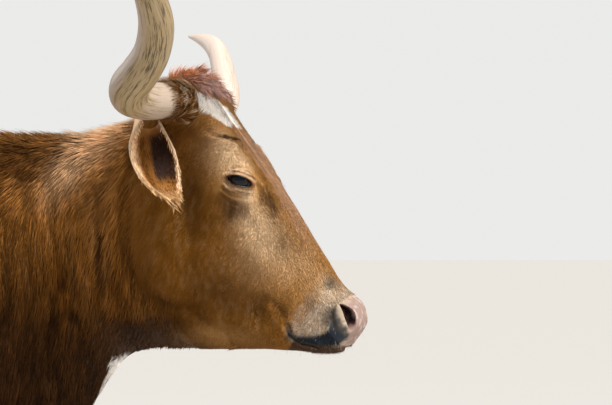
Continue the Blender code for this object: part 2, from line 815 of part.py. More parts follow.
def make_horn(name, shape, head):
    """One horn, rooted on the side of the poll."""
    side = SIDES[name.split("_")[1]]
    points = [
        (POLL.x + forward, side * outward, HORN_LEVEL + up, radius)
        for forward, outward, up, radius in shape
    ]
    horn = swept(name, smooth_route(points, 24), 3)
    tool = grown(head, GAP, "horn_cutter")
    boolean(horn, "DIFFERENCE", tool)
    remove_object(tool)
    return horn


def make_ear(name, head):
    """One ear, a thick leaf rolled into a cup that opens forward."""
    side = SIDES[name.split("_")[1]]
    root = face(EAR_ROOT[0], EAR_ROOT[1], side * EAR_ROOT[2])
    run = Vector((EAR_RUN[0], side * EAR_RUN[1], EAR_RUN[2]))
    opens = Vector((EAR_OPENS[0], side * EAR_OPENS[1], EAR_OPENS[2]))
    along = run.normalized()
    opens = (opens - along * opens.dot(along)).normalized()
    across = along.cross(opens)
    rows = 10
    columns = 9
    steps = np.linspace(0.0, 1.0, rows)
    shape = smooth_through(EAR_SHAPE, steps)
    form = bmesh.new()
    grid = []
    for t, (half_width, wrap) in zip(steps, shape):
        middle = root - along * 0.016 + (run + along * 0.016) * t
        middle = middle - opens * 0.012 * math.sin(math.pi * t)
        row = []
        for j in range(columns):
            angle = wrap * (2 * j / (columns - 1) - 1)
            place = middle + across * half_width * math.sin(angle)
            place = place - opens * half_width * 0.75 * (math.cos(angle) - math.cos(wrap) * 0.5)
            row.append(form.verts.new(place))
        grid.append(row)
    for i in range(rows - 1):
        for j in range(columns - 1):
            form.faces.new((grid[i][j], grid[i][j + 1], grid[i + 1][j + 1], grid[i + 1][j]))
    mesh = bpy.data.meshes.new(name)
    form.to_mesh(mesh)
    form.free()
    ear = add_object(name, mesh)
    thick = ear.modifiers.new("thick", "SOLIDIFY")
    thick.thickness = EAR_THICKNESS
    thick.offset = 0.0
    settle(ear)
    tool = grown(head, GAP, "ear_cutter")
    boolean(ear, "DIFFERENCE", tool)
    remove_object(tool)
    return ear


def make_claw(name, foot, inner_or_outer):
    """One of a foot's two claws: flat below and along the cleft, round outside."""
    x, y = foot_middle(foot)
    side = SIDES[foot.split("_")[1]] * (1.0 if inner_or_outer == "outer" else -1.0)
    turn = np.linspace(0.0, math.pi, 11)
    rings = []
    for height, toe, heel, share in (
        (0.000, CLAW_REACH[0], CLAW_REACH[1], 0.94),
        (0.006, CLAW_REACH[0] - 0.001, CLAW_REACH[1] - 0.001, 1.0),
        (0.040, CLAW_REACH[0] - 0.020, CLAW_REACH[1] + 0.002, 1.0),
        (0.085, CLAW_REACH[0] - 0.038, CLAW_REACH[1] + 0.010, 0.92),
    ):
        middle = (toe + heel) / 2
        half = (toe - heel) / 2
        lengthwise = x + middle + half * np.cos(turn)
        outward = CLAW_WIDTH * share * np.abs(np.sin(turn)) ** 0.72
        sideways = y + side * (CLEFT / 2 + outward)
        level = np.full(len(turn), height)
        rings.append(np.stack([lengthwise, sideways, level], axis=-1))
    claw = loft(name, np.array(rings))
    place, normal = coronet_plane(x)
    return trim(claw, place - normal * GAP / 2, normal)


def make_dewclaw(name, foot, inner_or_outer, leg):
    """One of the two small claws behind the fetlock."""
    stations = sorted(FORELEG) if foot.startswith("fore") else sorted(HINDLEG)
    side = SIDES[foot.split("_")[1]]
    middle, across, length, _ = smooth_through(stations, np.array([DEWCLAW_LEVEL]))[0]
    x = middle + float(lean(foot, DEWCLAW_LEVEL)) - length
    y = side * (across + (0.017 if inner_or_outer == "outer" else -0.017))
    route = [
        (x + 0.018, y, DEWCLAW_LEVEL + 0.012, 0.0125),
        (x + 0.002, y, DEWCLAW_LEVEL, 0.0125),
        (x - 0.008, y, DEWCLAW_LEVEL - 0.012, 0.0090),
        (x - 0.010, y, DEWCLAW_LEVEL - 0.020, 0.0035),
    ]
    dewclaw = swept(name, route, 1)
    tool = grown(leg, GAP, "dewclaw_cutter")
    boolean(dewclaw, "DIFFERENCE", tool)
    remove_object(tool)
    return dewclaw


def make_tail(torso):
    """The tail from the rump to where its long hair starts."""
    tail = swept("tail", smooth_route(TAIL, 14), 2)
    trim(tail, (0, 0, SWITCH_TOP + GAP / 2), (0, 0, -1))
    tool = grown(torso, GAP, "tail_cutter")
    boolean(tail, "DIFFERENCE", tool)
    remove_object(tool)
    return tail


def lock(root, run, bend, flat, size):
    """A flat tapered lock of hair: it leaves its root along run and bends toward bend."""
    length, width, thickness = size
    across = run.cross(flat).normalized()
    rings = []
    for t, share in ((0.0, 0.80), (0.30, 1.0), (0.60, 0.85), (0.84, 0.50), (1.0, 0.10)):
        middle = root + run * (length * t) + bend * (length * t * t)
        half = across * (width * share / 2)
        deep = flat * (thickness * (0.35 + 0.65 * share) / 2)
        rings.append([middle + half, middle + deep, middle - half, middle - deep])
    return loft("lock", np.array(rings))


def with_locks(node, locks):
    """Fuses a node with all its locks."""
    group = bpy.data.collections.new("locks")
    bpy.context.scene.collection.children.link(group)
    for piece in locks:
        bpy.context.scene.collection.objects.unlink(piece)
        group.objects.link(piece)
    fuse = node.modifiers.new("fuse", "BOOLEAN")
    fuse.operation = "UNION"
    fuse.solver = "MANIFOLD"
    fuse.operand_type = "COLLECTION"
    fuse.collection = group
    settle(node)
    for piece in locks:
        remove_object(piece)
    bpy.data.collections.remove(group)
    return keep_largest(node)


def poll_locks(head):
    """The tuft on the poll: overlapping locks that lie forward and lift their tips."""
    draw = np.random.default_rng(11)
    ahead_way = Vector((1.0, 0.0, 0.0))
    locks = []
    for row, ahead in enumerate(POLL_ROWS):
        forward = row / (len(POLL_ROWS) - 1)
        for place in range(POLL_ROW_LOCKS):
            across = 2 * (place + 0.5 * (row % 2)) / (POLL_ROW_LOCKS - 0.5) - 1
            across = POLL_HALF_WIDTH * across * (1 - 0.15 * forward)
            start = POLL + Vector((ahead, across + draw.uniform(-0.003, 0.003), 0.05))
            _, surface, normal, _ = head.closest_point_on_mesh(start)
            along = (ahead_way - normal * ahead_way.dot(normal)).normalized()
            run = along + normal * draw.uniform(0.22, 0.38)
            run = run + Vector((0.0, 1.6 * across + draw.uniform(-0.16, 0.16), 0.0))
            run.normalize()
            bend = along * draw.uniform(0.0, 0.25) - normal * draw.uniform(0.15, 0.45)
            flat = (normal - run * normal.dot(run) * 0.9).normalized()
            length = POLL_LOCK[0] * draw.uniform(0.82, 1.18)
            width = POLL_LOCK[1] * draw.uniform(0.85, 1.15)
            root = surface - normal * 0.0045
            locks.append(lock(root, run, bend, flat, (length, width, POLL_LOCK[2])))
    return locks


def make_switch():
    """The long hair at the tail's end: a slim core and the locks that hang round it."""
    draw = np.random.default_rng(5)
    x = TAIL[-1][0]
    core = [
        (x, 0.0, SWITCH_TOP + 0.04, 0.0135),
        (x, 0.0, SWITCH_TOP - 0.05, 0.0170),
        (x - 0.003, 0.0, 0.56, 0.0200),
        (x - 0.004, 0.0, 0.46, 0.0180),
        (x - 0.004, 0.0, 0.38, 0.0110),
        (x - 0.004, 0.0, 0.33, 0.0040),
    ]
    switch = swept("tail_switch", smooth_route(core, 10), 2)
    trim(switch, (0, 0, SWITCH_TOP - GAP / 2), (0, 0, 1))
    locks = []
    for row, height in enumerate(SWITCH_ROWS):
        for place in range(SWITCH_ROW_LOCKS):
            turn = 2 * math.pi * (place + 0.5 * (row % 2)) / SWITCH_ROW_LOCKS
            turn = turn + draw.uniform(-0.2, 0.2)
            out = Vector((math.cos(turn), math.sin(turn), 0.0))
            level = height + draw.uniform(-0.012, 0.012)
            root = Vector((x, 0.0, level)) + out * 0.007
            run = (Vector((0.0, 0.0, -1.0)) + out * draw.uniform(0.12, 0.20)).normalized()
            bend = -out * draw.uniform(0.06, 0.16)
            length = min(SWITCH_LOCK[0] * draw.uniform(0.80, 1.15), level - SWITCH_TIP)
            width = SWITCH_LOCK[1] * draw.uniform(0.85, 1.15)
            locks.append(lock(root, run, bend, out, (length, width, SWITCH_LOCK[2])))
    return with_locks(switch, locks)


def make_udder(torso, legs):
    """A small udder with its four teats."""
    bpy.ops.mesh.primitive_uv_sphere_add(segments=16, ring_count=9, radius=1.0)
    udder = bpy.context.object
    udder.name = "udder"
    udder.data.transform(Matrix.Translation(UDDER_PLACE) @ Matrix.Diagonal((*UDDER_SIZE, 1.0)))
    for forward in (-TEAT_SPREAD[0], TEAT_SPREAD[0]):
        for across in (-TEAT_SPREAD[1], TEAT_SPREAD[1]):
            x = UDDER_PLACE[0] + forward
            route = [
                (x, across, UDDER_PLACE[2] - 0.030, 0.0140),
                (x, across * 1.04, UDDER_PLACE[2] - 0.070, 0.0120),
                (x, across * 1.06, UDDER_PLACE[2] - 0.100, 0.0100),
                (x, across * 1.06, UDDER_PLACE[2] - 0.110, 0.0060),
            ]
            teat = swept("teat", route, 1)
            boolean(udder, "UNION", teat)
            remove_object(teat)
    for neighbour in [torso] + legs:
        tool = grown(neighbour, GAP, "udder_cutter")
        boolean(udder, "DIFFERENCE", tool)
        remove_object(tool)
    return udder


def bend_neck(neck):
    """Bends the neck's points to the right, as a beam bends."""
    points = coordinates(neck)
    radius = (TURN_END - TURN_START) / NECK_TURN
    angle = np.clip((points[:, 0] - TURN_START) / radius, 0.0, NECK_TURN)
    ahead = np.maximum(points[:, 0] - TURN_END, 0.0)
    bent = points.copy()
    turned = points[:, 0] > TURN_START
    line_x = TURN_START + radius * np.sin(angle) + ahead * np.cos(angle)
    line_y = -radius * (1 - np.cos(angle)) - ahead * np.sin(angle)
    bent[:, 0] = np.where(turned, line_x + points[:, 1] * np.sin(angle), points[:, 0])
    bent[:, 1] = np.where(turned, line_y + points[:, 1] * np.cos(angle), points[:, 1])
    set_coordinates(neck, bent)


def head_turn():
    """The rigid move that the bent neck gives the head."""
    radius = (TURN_END - TURN_START) / NECK_TURN
    x = TURN_START + radius * math.sin(NECK_TURN)
    y = -radius * (1 - math.cos(NECK_TURN))
    turn = Matrix.Rotation(-NECK_TURN, 4, "Z")
    return Matrix.Translation((x, y, 0.0)) @ turn @ Matrix.Translation((-TURN_END, 0.0, 0.0))


def material(name):
    """A plain finish in the colour of the photographed animal."""
    finish = bpy.data.materials.new(name)
    finish.use_nodes = True
    shader = finish.node_tree.nodes["Principled BSDF"]
    shader.inputs["Base Color"].default_value = COLOURS[name]
    shader.inputs["Roughness"].default_value = ROUGHNESS[name]
    shader.inputs["Metallic"].default_value = 0.0
    return finish


def finish_for(name):
    """The kind of surface that a node has."""
    if name.startswith("eye"):
        return "eye"
    if name.startswith("horn"):
        return "horn"
    if "claw" in name:
        return "claw"
    if name == "udder":
        return "skin"
    if name == "tail_switch":
        return "coat_dark"
    return "coat"


def build():
    """Makes every node, turns the head, and stands the animal over the origin."""
    clear_scene()
    body = whole_body()
    head = make_head(body)
    neck = make_neck(body)
    torso = make_torso(body)
    legs = [make_leg(body, name) for name in LEG_STEP]
    remove_object(body)
    head_group = [head]
    for word, side in SIDES.items():
        head_group.append(eye_ball("eye_" + word, side, 0.0))
        head_group.append(make_ear("ear_" + word, head))
    head_group.append(make_horn("horn_right", HORN_RIGHT, head))
    head_group.append(make_horn("horn_left", HORN_LEFT, head))
    others = [neck, torso, make_tail(torso), make_switch(), make_udder(torso, legs)] + legs
    for leg in legs:
        foot = leg.name
        for place in ("inner", "outer"):
            others.append(make_claw(foot.replace("leg", "claw") + "_" + place, foot, place))
            dewclaw = foot.replace("leg", "dewclaw") + "_" + place
            others.append(make_dewclaw(dewclaw, foot, place, leg))
    bend_neck(neck)
    finishes = {name: material(name) for name in COLOURS}
    nodes = bpy.data.collections.new("texas_longhorn")
    bpy.context.scene.collection.children.link(nodes)
    stand = bpy.data.objects.new("longhorn_stand", None)
    turned_head = bpy.data.objects.new("turned_head", None)
    nodes.objects.link(stand)
    nodes.objects.link(turned_head)
    turned_head.parent = stand
    turned_head.matrix_local = head_turn()
    low = np.full(3, np.inf)
    high = np.full(3, -np.inf)
    for obj in head_group + others:
        in_head = obj in head_group
        obj.parent = turned_head if in_head else stand
        for owner in list(obj.users_collection):
            owner.objects.unlink(obj)
        nodes.objects.link(obj)
        obj.data.materials.clear()
        obj.data.materials.append(finishes[finish_for(obj.name)])
        obj.data.shade_smooth()
        obj.data.set_sharp_from_angle(angle=math.radians(50.0))
        points = coordinates(obj)
        if in_head:
            move = np.array(head_turn())
            points = points @ move[:3, :3].T + move[:3, 3]
        low = np.minimum(low, points.min(axis=0))
        high = np.maximum(high, points.max(axis=0))
    stand.location = (-(low[0] + high[0]) / 2, -(low[1] + high[1]) / 2, -low[2])


build()
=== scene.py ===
"""The looks of a young Texas longhorn cow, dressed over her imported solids.

Everything soft is shaped straight and symmetric first, and takes the neck's bend at the end.
"""

import math

import bmesh
import bpy
import numpy as np
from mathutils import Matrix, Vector
from mathutils.bvhtree import BVHTree


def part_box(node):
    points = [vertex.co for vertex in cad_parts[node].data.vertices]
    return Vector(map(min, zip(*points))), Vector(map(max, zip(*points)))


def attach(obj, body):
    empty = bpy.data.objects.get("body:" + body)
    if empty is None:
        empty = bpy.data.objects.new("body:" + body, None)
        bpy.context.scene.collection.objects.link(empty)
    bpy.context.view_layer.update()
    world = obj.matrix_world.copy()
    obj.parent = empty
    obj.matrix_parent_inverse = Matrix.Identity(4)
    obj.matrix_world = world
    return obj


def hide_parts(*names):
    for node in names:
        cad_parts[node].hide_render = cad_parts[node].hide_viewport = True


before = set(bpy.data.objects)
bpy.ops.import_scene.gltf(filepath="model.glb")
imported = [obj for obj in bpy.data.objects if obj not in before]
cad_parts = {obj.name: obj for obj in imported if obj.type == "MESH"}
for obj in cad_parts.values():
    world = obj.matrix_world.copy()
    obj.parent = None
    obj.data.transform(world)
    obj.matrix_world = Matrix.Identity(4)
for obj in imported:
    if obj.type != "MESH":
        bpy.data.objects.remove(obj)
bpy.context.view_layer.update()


def table(width, *numbers, unit=1000):
    """Rows of measures in metres, from whole millimetres or a finer unit."""
    return np.reshape(numbers, (-1, width)) / unit


def routes(*rows):
    """Routes in millimetres, each after two values in ten-thousandths."""
    return [(row[0] / 10000, row[1] / 10000, table(3, *row[2:])) for row in rows]


# The straight animal's poll, the fall of her face, and the bend of the neck.
POLL = np.array((0.970, 0.0, 1.343))
FACE_SLOPE = math.radians(57.9)
FACE_COS = math.cos(FACE_SLOPE)
FACE_SIN = math.sin(FACE_SLOPE)
NECK_TURN = math.radians(14.0)
TURN_START = 0.66
TURN_END = 0.885
SIDES = {"right": -1.0, "left": 1.0}
# How far each foot is set forward of its place, and the level from which its leg leans.
LEG_STEP = {
    "foreleg_right": 0.04,
    "foreleg_left": -0.05,
    "hindleg_right": -0.07,
    "hindleg_left": 0.05,
}
LEG_PIVOT = 0.80
# How far out the skin climbs each horn.
HORN_SKIN_END = {"horn_right": 0.143, "horn_left": 0.104}
# Udder, eye, nostril and ear; places on the head are in the face's frame.
UDDER_PLACE = (-0.500, 0.0, 0.668)
UDDER_SIZE = (0.120, 0.080, 0.072)
TEAT_SPREAD = (0.045, 0.038)
EYE_PLACE = (0.185, -0.018, 0.078)
EYE_RADIUS = 0.0205
EYE_OPENING = (0.0400, 0.0152)
EYE_SLANT = (0.72, 0.69)
EYE_DROP = 0.0032
NOSTRIL = (0.449, 0.010, 0.038)
NOSTRIL_SIZE = (0.0225, 0.0105)
EAR_ROOT = (0.033, -0.0925, 0.093)
EAR_RUN = (0.078, 0.122, -0.1225)
EAR_OPENS = (0.58, 0.40, 0.70)
# The hide's first mesh size, the most triangles in a piece of coat, and counts of single hairs.
HIDE_GRAIN = 0.0070
MOST_TRIANGLES = 190000
POLL_LOCKS = 350
HAIRS_IN_LOCK = 15
SWITCH_HAIRS = 1500
LASHES = 44
WHISKERS = 70
# Trunk and neck: x, then top, bottom, half width, level of greatest width, squareness.
TRUNK = table(
    7,
    -835, 1150, 1000, 30, 1080, 2000, 2000,
    -800, 1195, 860, 105, 1070, 2400, 2000,
    -700, 1238, 740, 175, 1020, 2300, 2000,
    -560, 1268, 700, 215, 1030, 2200, 2000,
    -420, 1275, 665, 238, 1040, 2500, 2100,
    -260, 1258, 635, 245, 930, 2200, 2100,
    -50, 1242, 605, 275, 900, 2100, 2200,
    150, 1240, 595, 270, 900, 2000, 2200,
    320, 1255, 600, 235, 900, 1800, 2100,
    440, 1264, 615, 215, 900, 1700, 2000,
    560, 1258, 630, 195, 920, 1800, 1700,
    660, 1255, 655, 155, 1000, 1900, 1250,
    720, 1255, 705, 130, 1040, 2000, 1200,
    780, 1257, 800, 112, 1070, 2050, 1350,
    840, 1275, 886, 102, 1080, 2100, 1600,
    900, 1298, 905, 94, 1090, 2200, 1900,
    960, 1315, 960, 80, 1110, 2200, 2000,
    985, 1250, 1000, 50, 1120, 2000, 2000,
)
# The head in the face's own frame: down the face, then the same six, out from its line.
FACE = table(
    7,
    -20, -10, -60, 30, -35, 2000, 2000,
    -6, 0, -80, 62, -35, 2600, 2200,
    24, 4, -110, 80, -36, 3200, 2200,
    70, 5, -135, 88, -36, 3600, 2200,
    120, 8, -160, 94, -34, 3600, 2100,
    180, 12, -185, 98, -36, 3000, 2000,
    240, 17, -203, 84, -62, 2500, 2300,
    300, 19, -207, 73, -85, 2200, 2400,
    350, 20, -193, 62, -80, 2200, 2200,
    400, 19, -163, 56, -66, 2400, 2100,
    435, 18, -125, 60, -47, 2800, 2200,
    462, 19, -83, 60, -36, 3000, 2400,
    479, 9, -60, 50, -30, 2800, 2400,
    488, -10, -45, 28, -29, 2200, 2200,
)
# The loose skin between the jaws.
THROAT = table(
    7,
    800, 1020, 890, 40, 990, 2000, 1600,
    860, 1000, 899, 52, 970, 2000, 1600,
    940, 1000, 900, 54, 960, 2000, 1700,
    1000, 985, 902, 48, 955, 2000, 1700,
    1060, 970, 906, 40, 950, 2000, 1700,
    1110, 955, 910, 32, 938, 2000, 1800,
    1140, 950, 918, 20, 934, 2000, 2000,
)
# Legs from the top down: z, then x, y, half length and half width.
FORELEG = table(
    5,
    950, 500, 130, 130, 70, 780, 440, 145, 105, 65,
    660, 420, 145, 75, 52, 520, 425, 140, 52, 42,
    420, 430, 137, 40, 38, 365, 437, 137, 43, 42,
    310, 430, 137, 34, 33, 200, 430, 137, 28, 25,
    140, 432, 137, 37, 35, 100, 448, 137, 32, 34,
    60, 462, 137, 42, 44, 40, 467, 137, 43, 44,
)
HINDLEG = table(
    5,
    1000, -600, 120, 190, 90, 850, -600, 150, 180, 75,
    740, -575, 155, 150, 68, 640, -600, 150, 105, 55,
    550, -645, 145, 70, 42, 480, -690, 140, 55, 35,
    430, -705, 140, 58, 40, 370, -695, 140, 40, 35,
    250, -685, 140, 30, 27, 145, -680, 140, 38, 36,
    100, -665, 140, 33, 34, 60, -650, 140, 42, 43,
    40, -645, 140, 43, 43,
)
# The tail's route with its radius.
TAIL = table(
    4,
    -750, 0, 1212, 40, -812, 0, 1192, 36, -860, 0, 1135, 29,
    -880, 0, 1020, 22, -882, 0, 840, 16, -882, 0, 600, 12,
)
# Each horn's route: ahead of the poll, outward, above this level, and its radius.
HORN_LEVEL = 1.335
HORNS = {
    "horn_right": table(
        4,
        -120, 550, -270, 270, -160, 1000, -310, 270, -290, 1530, -370, 285,
        -400, 1970, -390, 295, -460, 2280, -340, 300, -380, 2500, -230, 295,
        -160, 2690, -60, 285, 110, 2920, 210, 268, 280, 3200, 550, 258,
        330, 3550, 870, 228, 290, 4000, 1220, 190, 100, 4450, 1520, 140,
        -220, 4820, 1700, 85, -520, 5050, 1770, 28,
        unit=10000,
    ),
    "horn_left": table(
        4,
        -120, 550, -270, 270, -100, 1200, -240, 265, -260, 2000, 100, 240,
        -470, 2550, 460, 212, -640, 2900, 760, 192, -840, 3200, 1030, 160,
        -1070, 3450, 1190, 105, -1280, 3620, 1270, 28,
        unit=10000,
    ),
}
# The line of the lips in the face's frame, from its corner to the front.
MOUTH = table(
    3,
    416, -81, 58, 430, -84, 60, 446, -79, 58, 462, -62, 55,
    474, -46, 44, 484, -32, 22, 487, -26, 0,
)
# Along the ear: half width, and how far round the cup the section wraps.
EAR_SHAPE = table(
    3,
    0, 20, 2500, 120, 26, 2100, 300, 38, 1600, 520, 41, 1300,
    740, 33, 1150, 900, 19, 1050, 1000, 4, 1000,
)
# Bones and hollows: place, reach and height. Those of the head are in the face's frame.
HEAD_FORMS = table(
    5,
    1650, -120, 880, 380, 60, 850, -550, 900, 400, -80, 2350, -200, 600, 350, -60,
    2600, -1500, 750, 600, 80, 2700, -680, 780, 220, 30, 3100, -600, 700, 220, 30,
    3300, -200, 500, 400, -50, 4500, -80, 450, 220, 60, 4360, 200, 140, 240, 85,
    4560, 120, 160, 200, 20, 4550, -600, 450, 300, 40, 3600, -1000, 600, 200, -30,
    unit=10000,
)
BODY_FORMS = table(
    5,
    -430, 200, 1200, 50, 20, -790, 100, 1120, 40, 15, -780, 0, 1225, 50, 12,
    -360, 220, 1000, 90, -25, 260, 230, 1000, 70, -15, 500, 170, 980, 100, 20,
    600, 140, 880, 50, 20, -450, 170, 780, 50, 15, -735, 140, 455, 30, 12,
)
# Folds of the head's skin in the face's frame: reach, height (below zero for a crease), route.
FOLDS = routes(
    (30, -34, 72, -30, 90, 79, -20, 88, 90, -18, 89, 103, -11, 89, 117, 3, 70, 122, 7, 45),
    (60, 24, 90, -28, 90, 101, -24, 91, 114, -13, 88, 128, 0, 74, 132, 6, 50),
    (34, -22, 128, 4, 62, 142, 8, 52, 165, 9, 48, 195, 10, 46),
    (26, -14, 128, -18, 95, 137, -6, 90, 146, 4, 76),
    (26, -38, 166, -12, 100, 168, -6, 98, 173, 0, 93, 184, 5, 85, 196, 5, 78, 206, 1, 76),
    (28, 24, 166, -32, 101, 168, -19, 101, 172, -8, 99, 178, -2, 95, 187, 1, 90),
    (26, -20, 180, -36, 101, 191, -31, 99, 201, -22, 97, 207, -11, 92),
    (32, 28, 183, -40, 100, 195, -34, 98, 206, -23, 94, 212, -10, 86),
    (24, -32, 182, -45, 99, 193, -41, 97, 205, -34, 92, 216, -23, 86),
    (30, 18, 186, -49, 98, 198, -45, 96, 210, -37, 90),
    (24, -20, 187, -54, 98, 202, -50, 95, 216, -41, 89),
    (50, -50, 206, 2, 66, 218, 0, 64, 234, -8, 65),
    (45, -40, 212, 8, 50, 228, 5, 52, 246, -2, 56, 258, -5, 56),
    (50, 25, 210, 6, 58, 228, 0, 60, 244, -6, 61),
    (130, -70, 250, -245, 80, 272, -228, 74, 290, -217, 62, 316, -203, 52, 353, -191, 46, 389, -183, 26),
    (160, 50, 220, -205, 84, 262, -203, 76, 300, -190, 66, 345, -168, 58, 385, -135, 52),
    (80, -45, 385, -128, 54, 372, -108, 58, 362, -92, 62),
    (70, -35, 404, -80, 58, 390, -76, 58, 376, -78, 59),
    (60, 30, 372, -94, 60, 388, -94, 59, 405, -94, 58),
    (40, -34, 412, 12, 42, 424, 2, 52, 440, -10, 61, 456, -16, 60),
    (36, 16, 424, 8, 50, 438, -2, 56, 452, -8, 58),
)
# Folds of the neck's hide: reach, height and route (x, y, z).
NECK_FOLDS = routes(
    (170, -130, 880, 86, 1035, 888, 82, 990, 898, 66, 950, 902, 30, 915),
    (100, -60, 915, 60, 975, 926, 45, 945, 936, 20, 915),
    (120, -40, 858, 104, 1170, 850, 100, 1100, 846, 88, 1000),
    (160, -80, 735, 118, 1010, 731, 104, 956, 729, 75, 866),
    (180, 60, 780, 116, 1100, 790, 100, 1000, 800, 70, 920),
)
# Dark patches of lip, chin and nostril: down the face and out from it. The chin's and the nostril wing's dark
# are partly painted shade.
LIP_PATCH = table(
    2,
    417, -84, 430, -77, 440, -67, 450, -48, 453, -32, 447, -18, 446, -6, 456, -6,
    470, 0, 482, -7, 486, -20, 478, -36, 466, -56, 448, -80, 430, -90,
)
CHIN_PATCH = table(
    2,
    440, -84, 458, -64, 474, -40, 488, -22, 510, -22, 510, -75, 474, -98, 446, -104,
)
NOSTRIL_WING = table(
    2,
    430, 1, 446, -1, 468, -1, 480, -6, 470, -12, 450, -16, 432, -6,
)
# The wrinkle over the brow: down the face and across it.
BROW_WRINKLE = table(
    3,
    112, 0, 72, 119, 0, 50, 122, 0, 24, 134, 0, 15, 152, 0, 13, 186, 0, 16,
)
# The blaze's edges: how far down the face, then across it (the animal's right below zero).
BLAZE_RIGHT = table(
    5,
    24, 30, 46, 66, 95, -95, -93, -81, -73, -54,
)
BLAZE_LEFT = table(
    5,
    24, 30, 39, 62, 95, -70, -46, -6, 14, 22,
)
# Finishes, as plain colours of the dry surface; those for the nostrils' pits and the ear's hollow are painted
# shade.
(
    CHESTNUT, CHESTNUT_DARK, CHESTNUT_PALE, FAWN, SAND, CREAM, WHITE, ROAN, SLATE, UMBER, LIP, NOSE_PINK,
    NOSTRIL_SHADE, UDDER_PINK, TUFT_TIP, TUFT_ROOT, EAR_HOLLOW_SHADE,
) = table(
    3,
    250, 100, 18, 72, 25, 3, 500, 240, 80, 460, 250, 88, 860, 620, 385, 720, 560, 400,
    940, 895, 850, 620, 500, 380, 90, 80, 68, 36, 14, 4, 19, 26, 36, 390, 270, 230,
    30, 10, 16, 560, 330, 270, 470, 165, 50, 360, 225, 200, 18, 8, 7,
)
# Lines along the face's folds: half width, strength and route. These dark ones are painted shade in the
# creases.
CREASE_SHADE_LINES = routes(
    (42, 8500, 208, 1, 66, 220, -2, 64, 236, -10, 66),
    (50, 8000, 212, 8, 50, 226, 5, 53, 242, 1, 54),
    (21, 8500, 79, -24, 89, 87, -19, 88, 104, -12, 88, 115, 3, 66, 120, 8, 36, 134, 10, 24, 158, 11, 20,
     184, 11, 18),
    (22, 6000, 60, -50, 94, 74, -40, 92, 84, -26, 90),
    (20, 5500, 128, 4, 62, 142, 8, 52, 165, 9, 48, 195, 10, 46),
    (19, 8500, 168, -6, 98, 173, 0, 93, 184, 5, 85, 196, 5, 78, 206, 1, 76),
    (14, 7500, 183, -44, 99, 193, -40, 97, 205, -33, 92, 216, -24, 86),
    (16, 5500, 188, -52, 98, 203, -48, 94, 214, -40, 89),
)
# Pale lines along the ridges of the folds round the eye: partly paler skin, partly painted highlight.
PALE_LINES = routes(
    (26, 8500, 167, -30, 101, 168, -19, 101, 172, -8, 99, 178, -2, 95, 188, 2, 90),
    (28, 8500, 184, -38, 100, 195, -32, 98, 206, -21, 94, 211, -12, 86),
)
# The camera's scale at the head, and how many pixels the poll lies left of the middle.
METRES_PER_PIXEL = 0.001626
POLL_OFF_MIDDLE = 101

draw = np.random.default_rng(29)


def face(down, out, across):
    """A place given in the face's frame: down the face, out from it and across."""
    return np.array((
        POLL[0] + down * FACE_COS + out * FACE_SIN,
        across,
        POLL[2] - down * FACE_SIN + out * FACE_COS,
    ))


def face_frame(points):
    """Places in the face's frame: down the face, out from it, and off the middle line."""
    ahead = points[:, 0] - POLL[0]
    up = points[:, 2] - POLL[2]
    down = ahead * FACE_COS - up * FACE_SIN
    out = ahead * FACE_SIN + up * FACE_COS
    return down, out, np.abs(points[:, 1])


def turned(points):
    """Takes places on the straight animal round the bend of the neck."""
    points = np.atleast_2d(points)
    radius = (TURN_END - TURN_START) / NECK_TURN
    angle = np.clip((points[:, 0] - TURN_START) / radius, 0.0, NECK_TURN)
    ahead = np.maximum(points[:, 0] - TURN_END, 0.0)
    bent = points.copy()
    past = points[:, 0] > TURN_START
    line_x = TURN_START + radius * np.sin(angle) + ahead * np.cos(angle)
    line_y = -radius * (1 - np.cos(angle)) - ahead * np.sin(angle)
    bent[:, 0] = np.where(past, line_x + points[:, 1] * np.sin(angle), points[:, 0])
    bent[:, 1] = np.where(past, line_y + points[:, 1] * np.cos(angle), points[:, 1])
    return bent


def beside(place, side):
    """A place in the face's frame, on one side of the head."""
    return face(place[0], place[1], side * place[2])


def packed(points):
    """Takes places on the straight animal to where the solids stand."""
    return turned(points) + SHIFT


# From the straight animal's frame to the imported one, told by the right eye.
SHIFT = np.add(*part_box("eye_right")) / 2 - turned(beside(EYE_PLACE, SIDES["right"]))[0]


def smooth_through(stations, where):
    """Rows of a table of stations, read at other places along its first column."""
    at = stations[:, 0]
    values = stations[:, 1:]
    slopes = np.gradient(values, at, axis=0)
    i = np.clip(np.searchsorted(at, where, side="right") - 1, 0, len(at) - 2)
    step = (at[i + 1] - at[i])[:, None]
    t = (where - at[i])[:, None] / step
    first = values[i] * (1 + 2 * t) * (1 - t) ** 2 + slopes[i] * step * t * (1 - t) ** 2
    second = values[i + 1] * t * t * (3 - 2 * t) - slopes[i + 1] * step * t * t * (1 - t)
    return first + second


def smooth_route(points, count):
    """Points at even steps along a smooth line through the given ones."""
    points = np.array(points, float)
    along = distance_along(points)
    return smooth_through(np.column_stack([along, points]), np.linspace(0.0, along[-1], count))


def distance_along(route):
    """How far along a route each of its points lies."""
    return np.concatenate([[0.0], np.cumsum(np.linalg.norm(np.diff(route[:, :3], axis=0), axis=1))])


def unit(lines, least=0.0):
    """Directions at a length of one."""
    if lines.ndim == 1:
        return lines / np.linalg.norm(lines)
    return lines / np.maximum(np.linalg.norm(lines, axis=1), least)[:, None]


def along_surface(lines, out):
    """Directions without their share along the way out."""
    return lines - out * np.einsum("ij,ij->i", lines, out)[:, None]


def mix(first, second, share):
    """Between two values, by the share of the second."""
    return first * (1 - share) + second * share


def rise(value, low, high):
    """A soft step from 0 at low to 1 at high."""
    t = np.clip((value - low) / (high - low), 0.0, 1.0)
    return t * t * (3 - 2 * t)


def fall(value, low, high):
    """A soft step from 1 at low to 0 at high."""
    return 1 - rise(value, low, high)


def bell(a, b=0.0):
    """A soft hill: 1 at the middle, nearly 0 from two steps out."""
    return np.exp(-(a ** 2 + b ** 2))


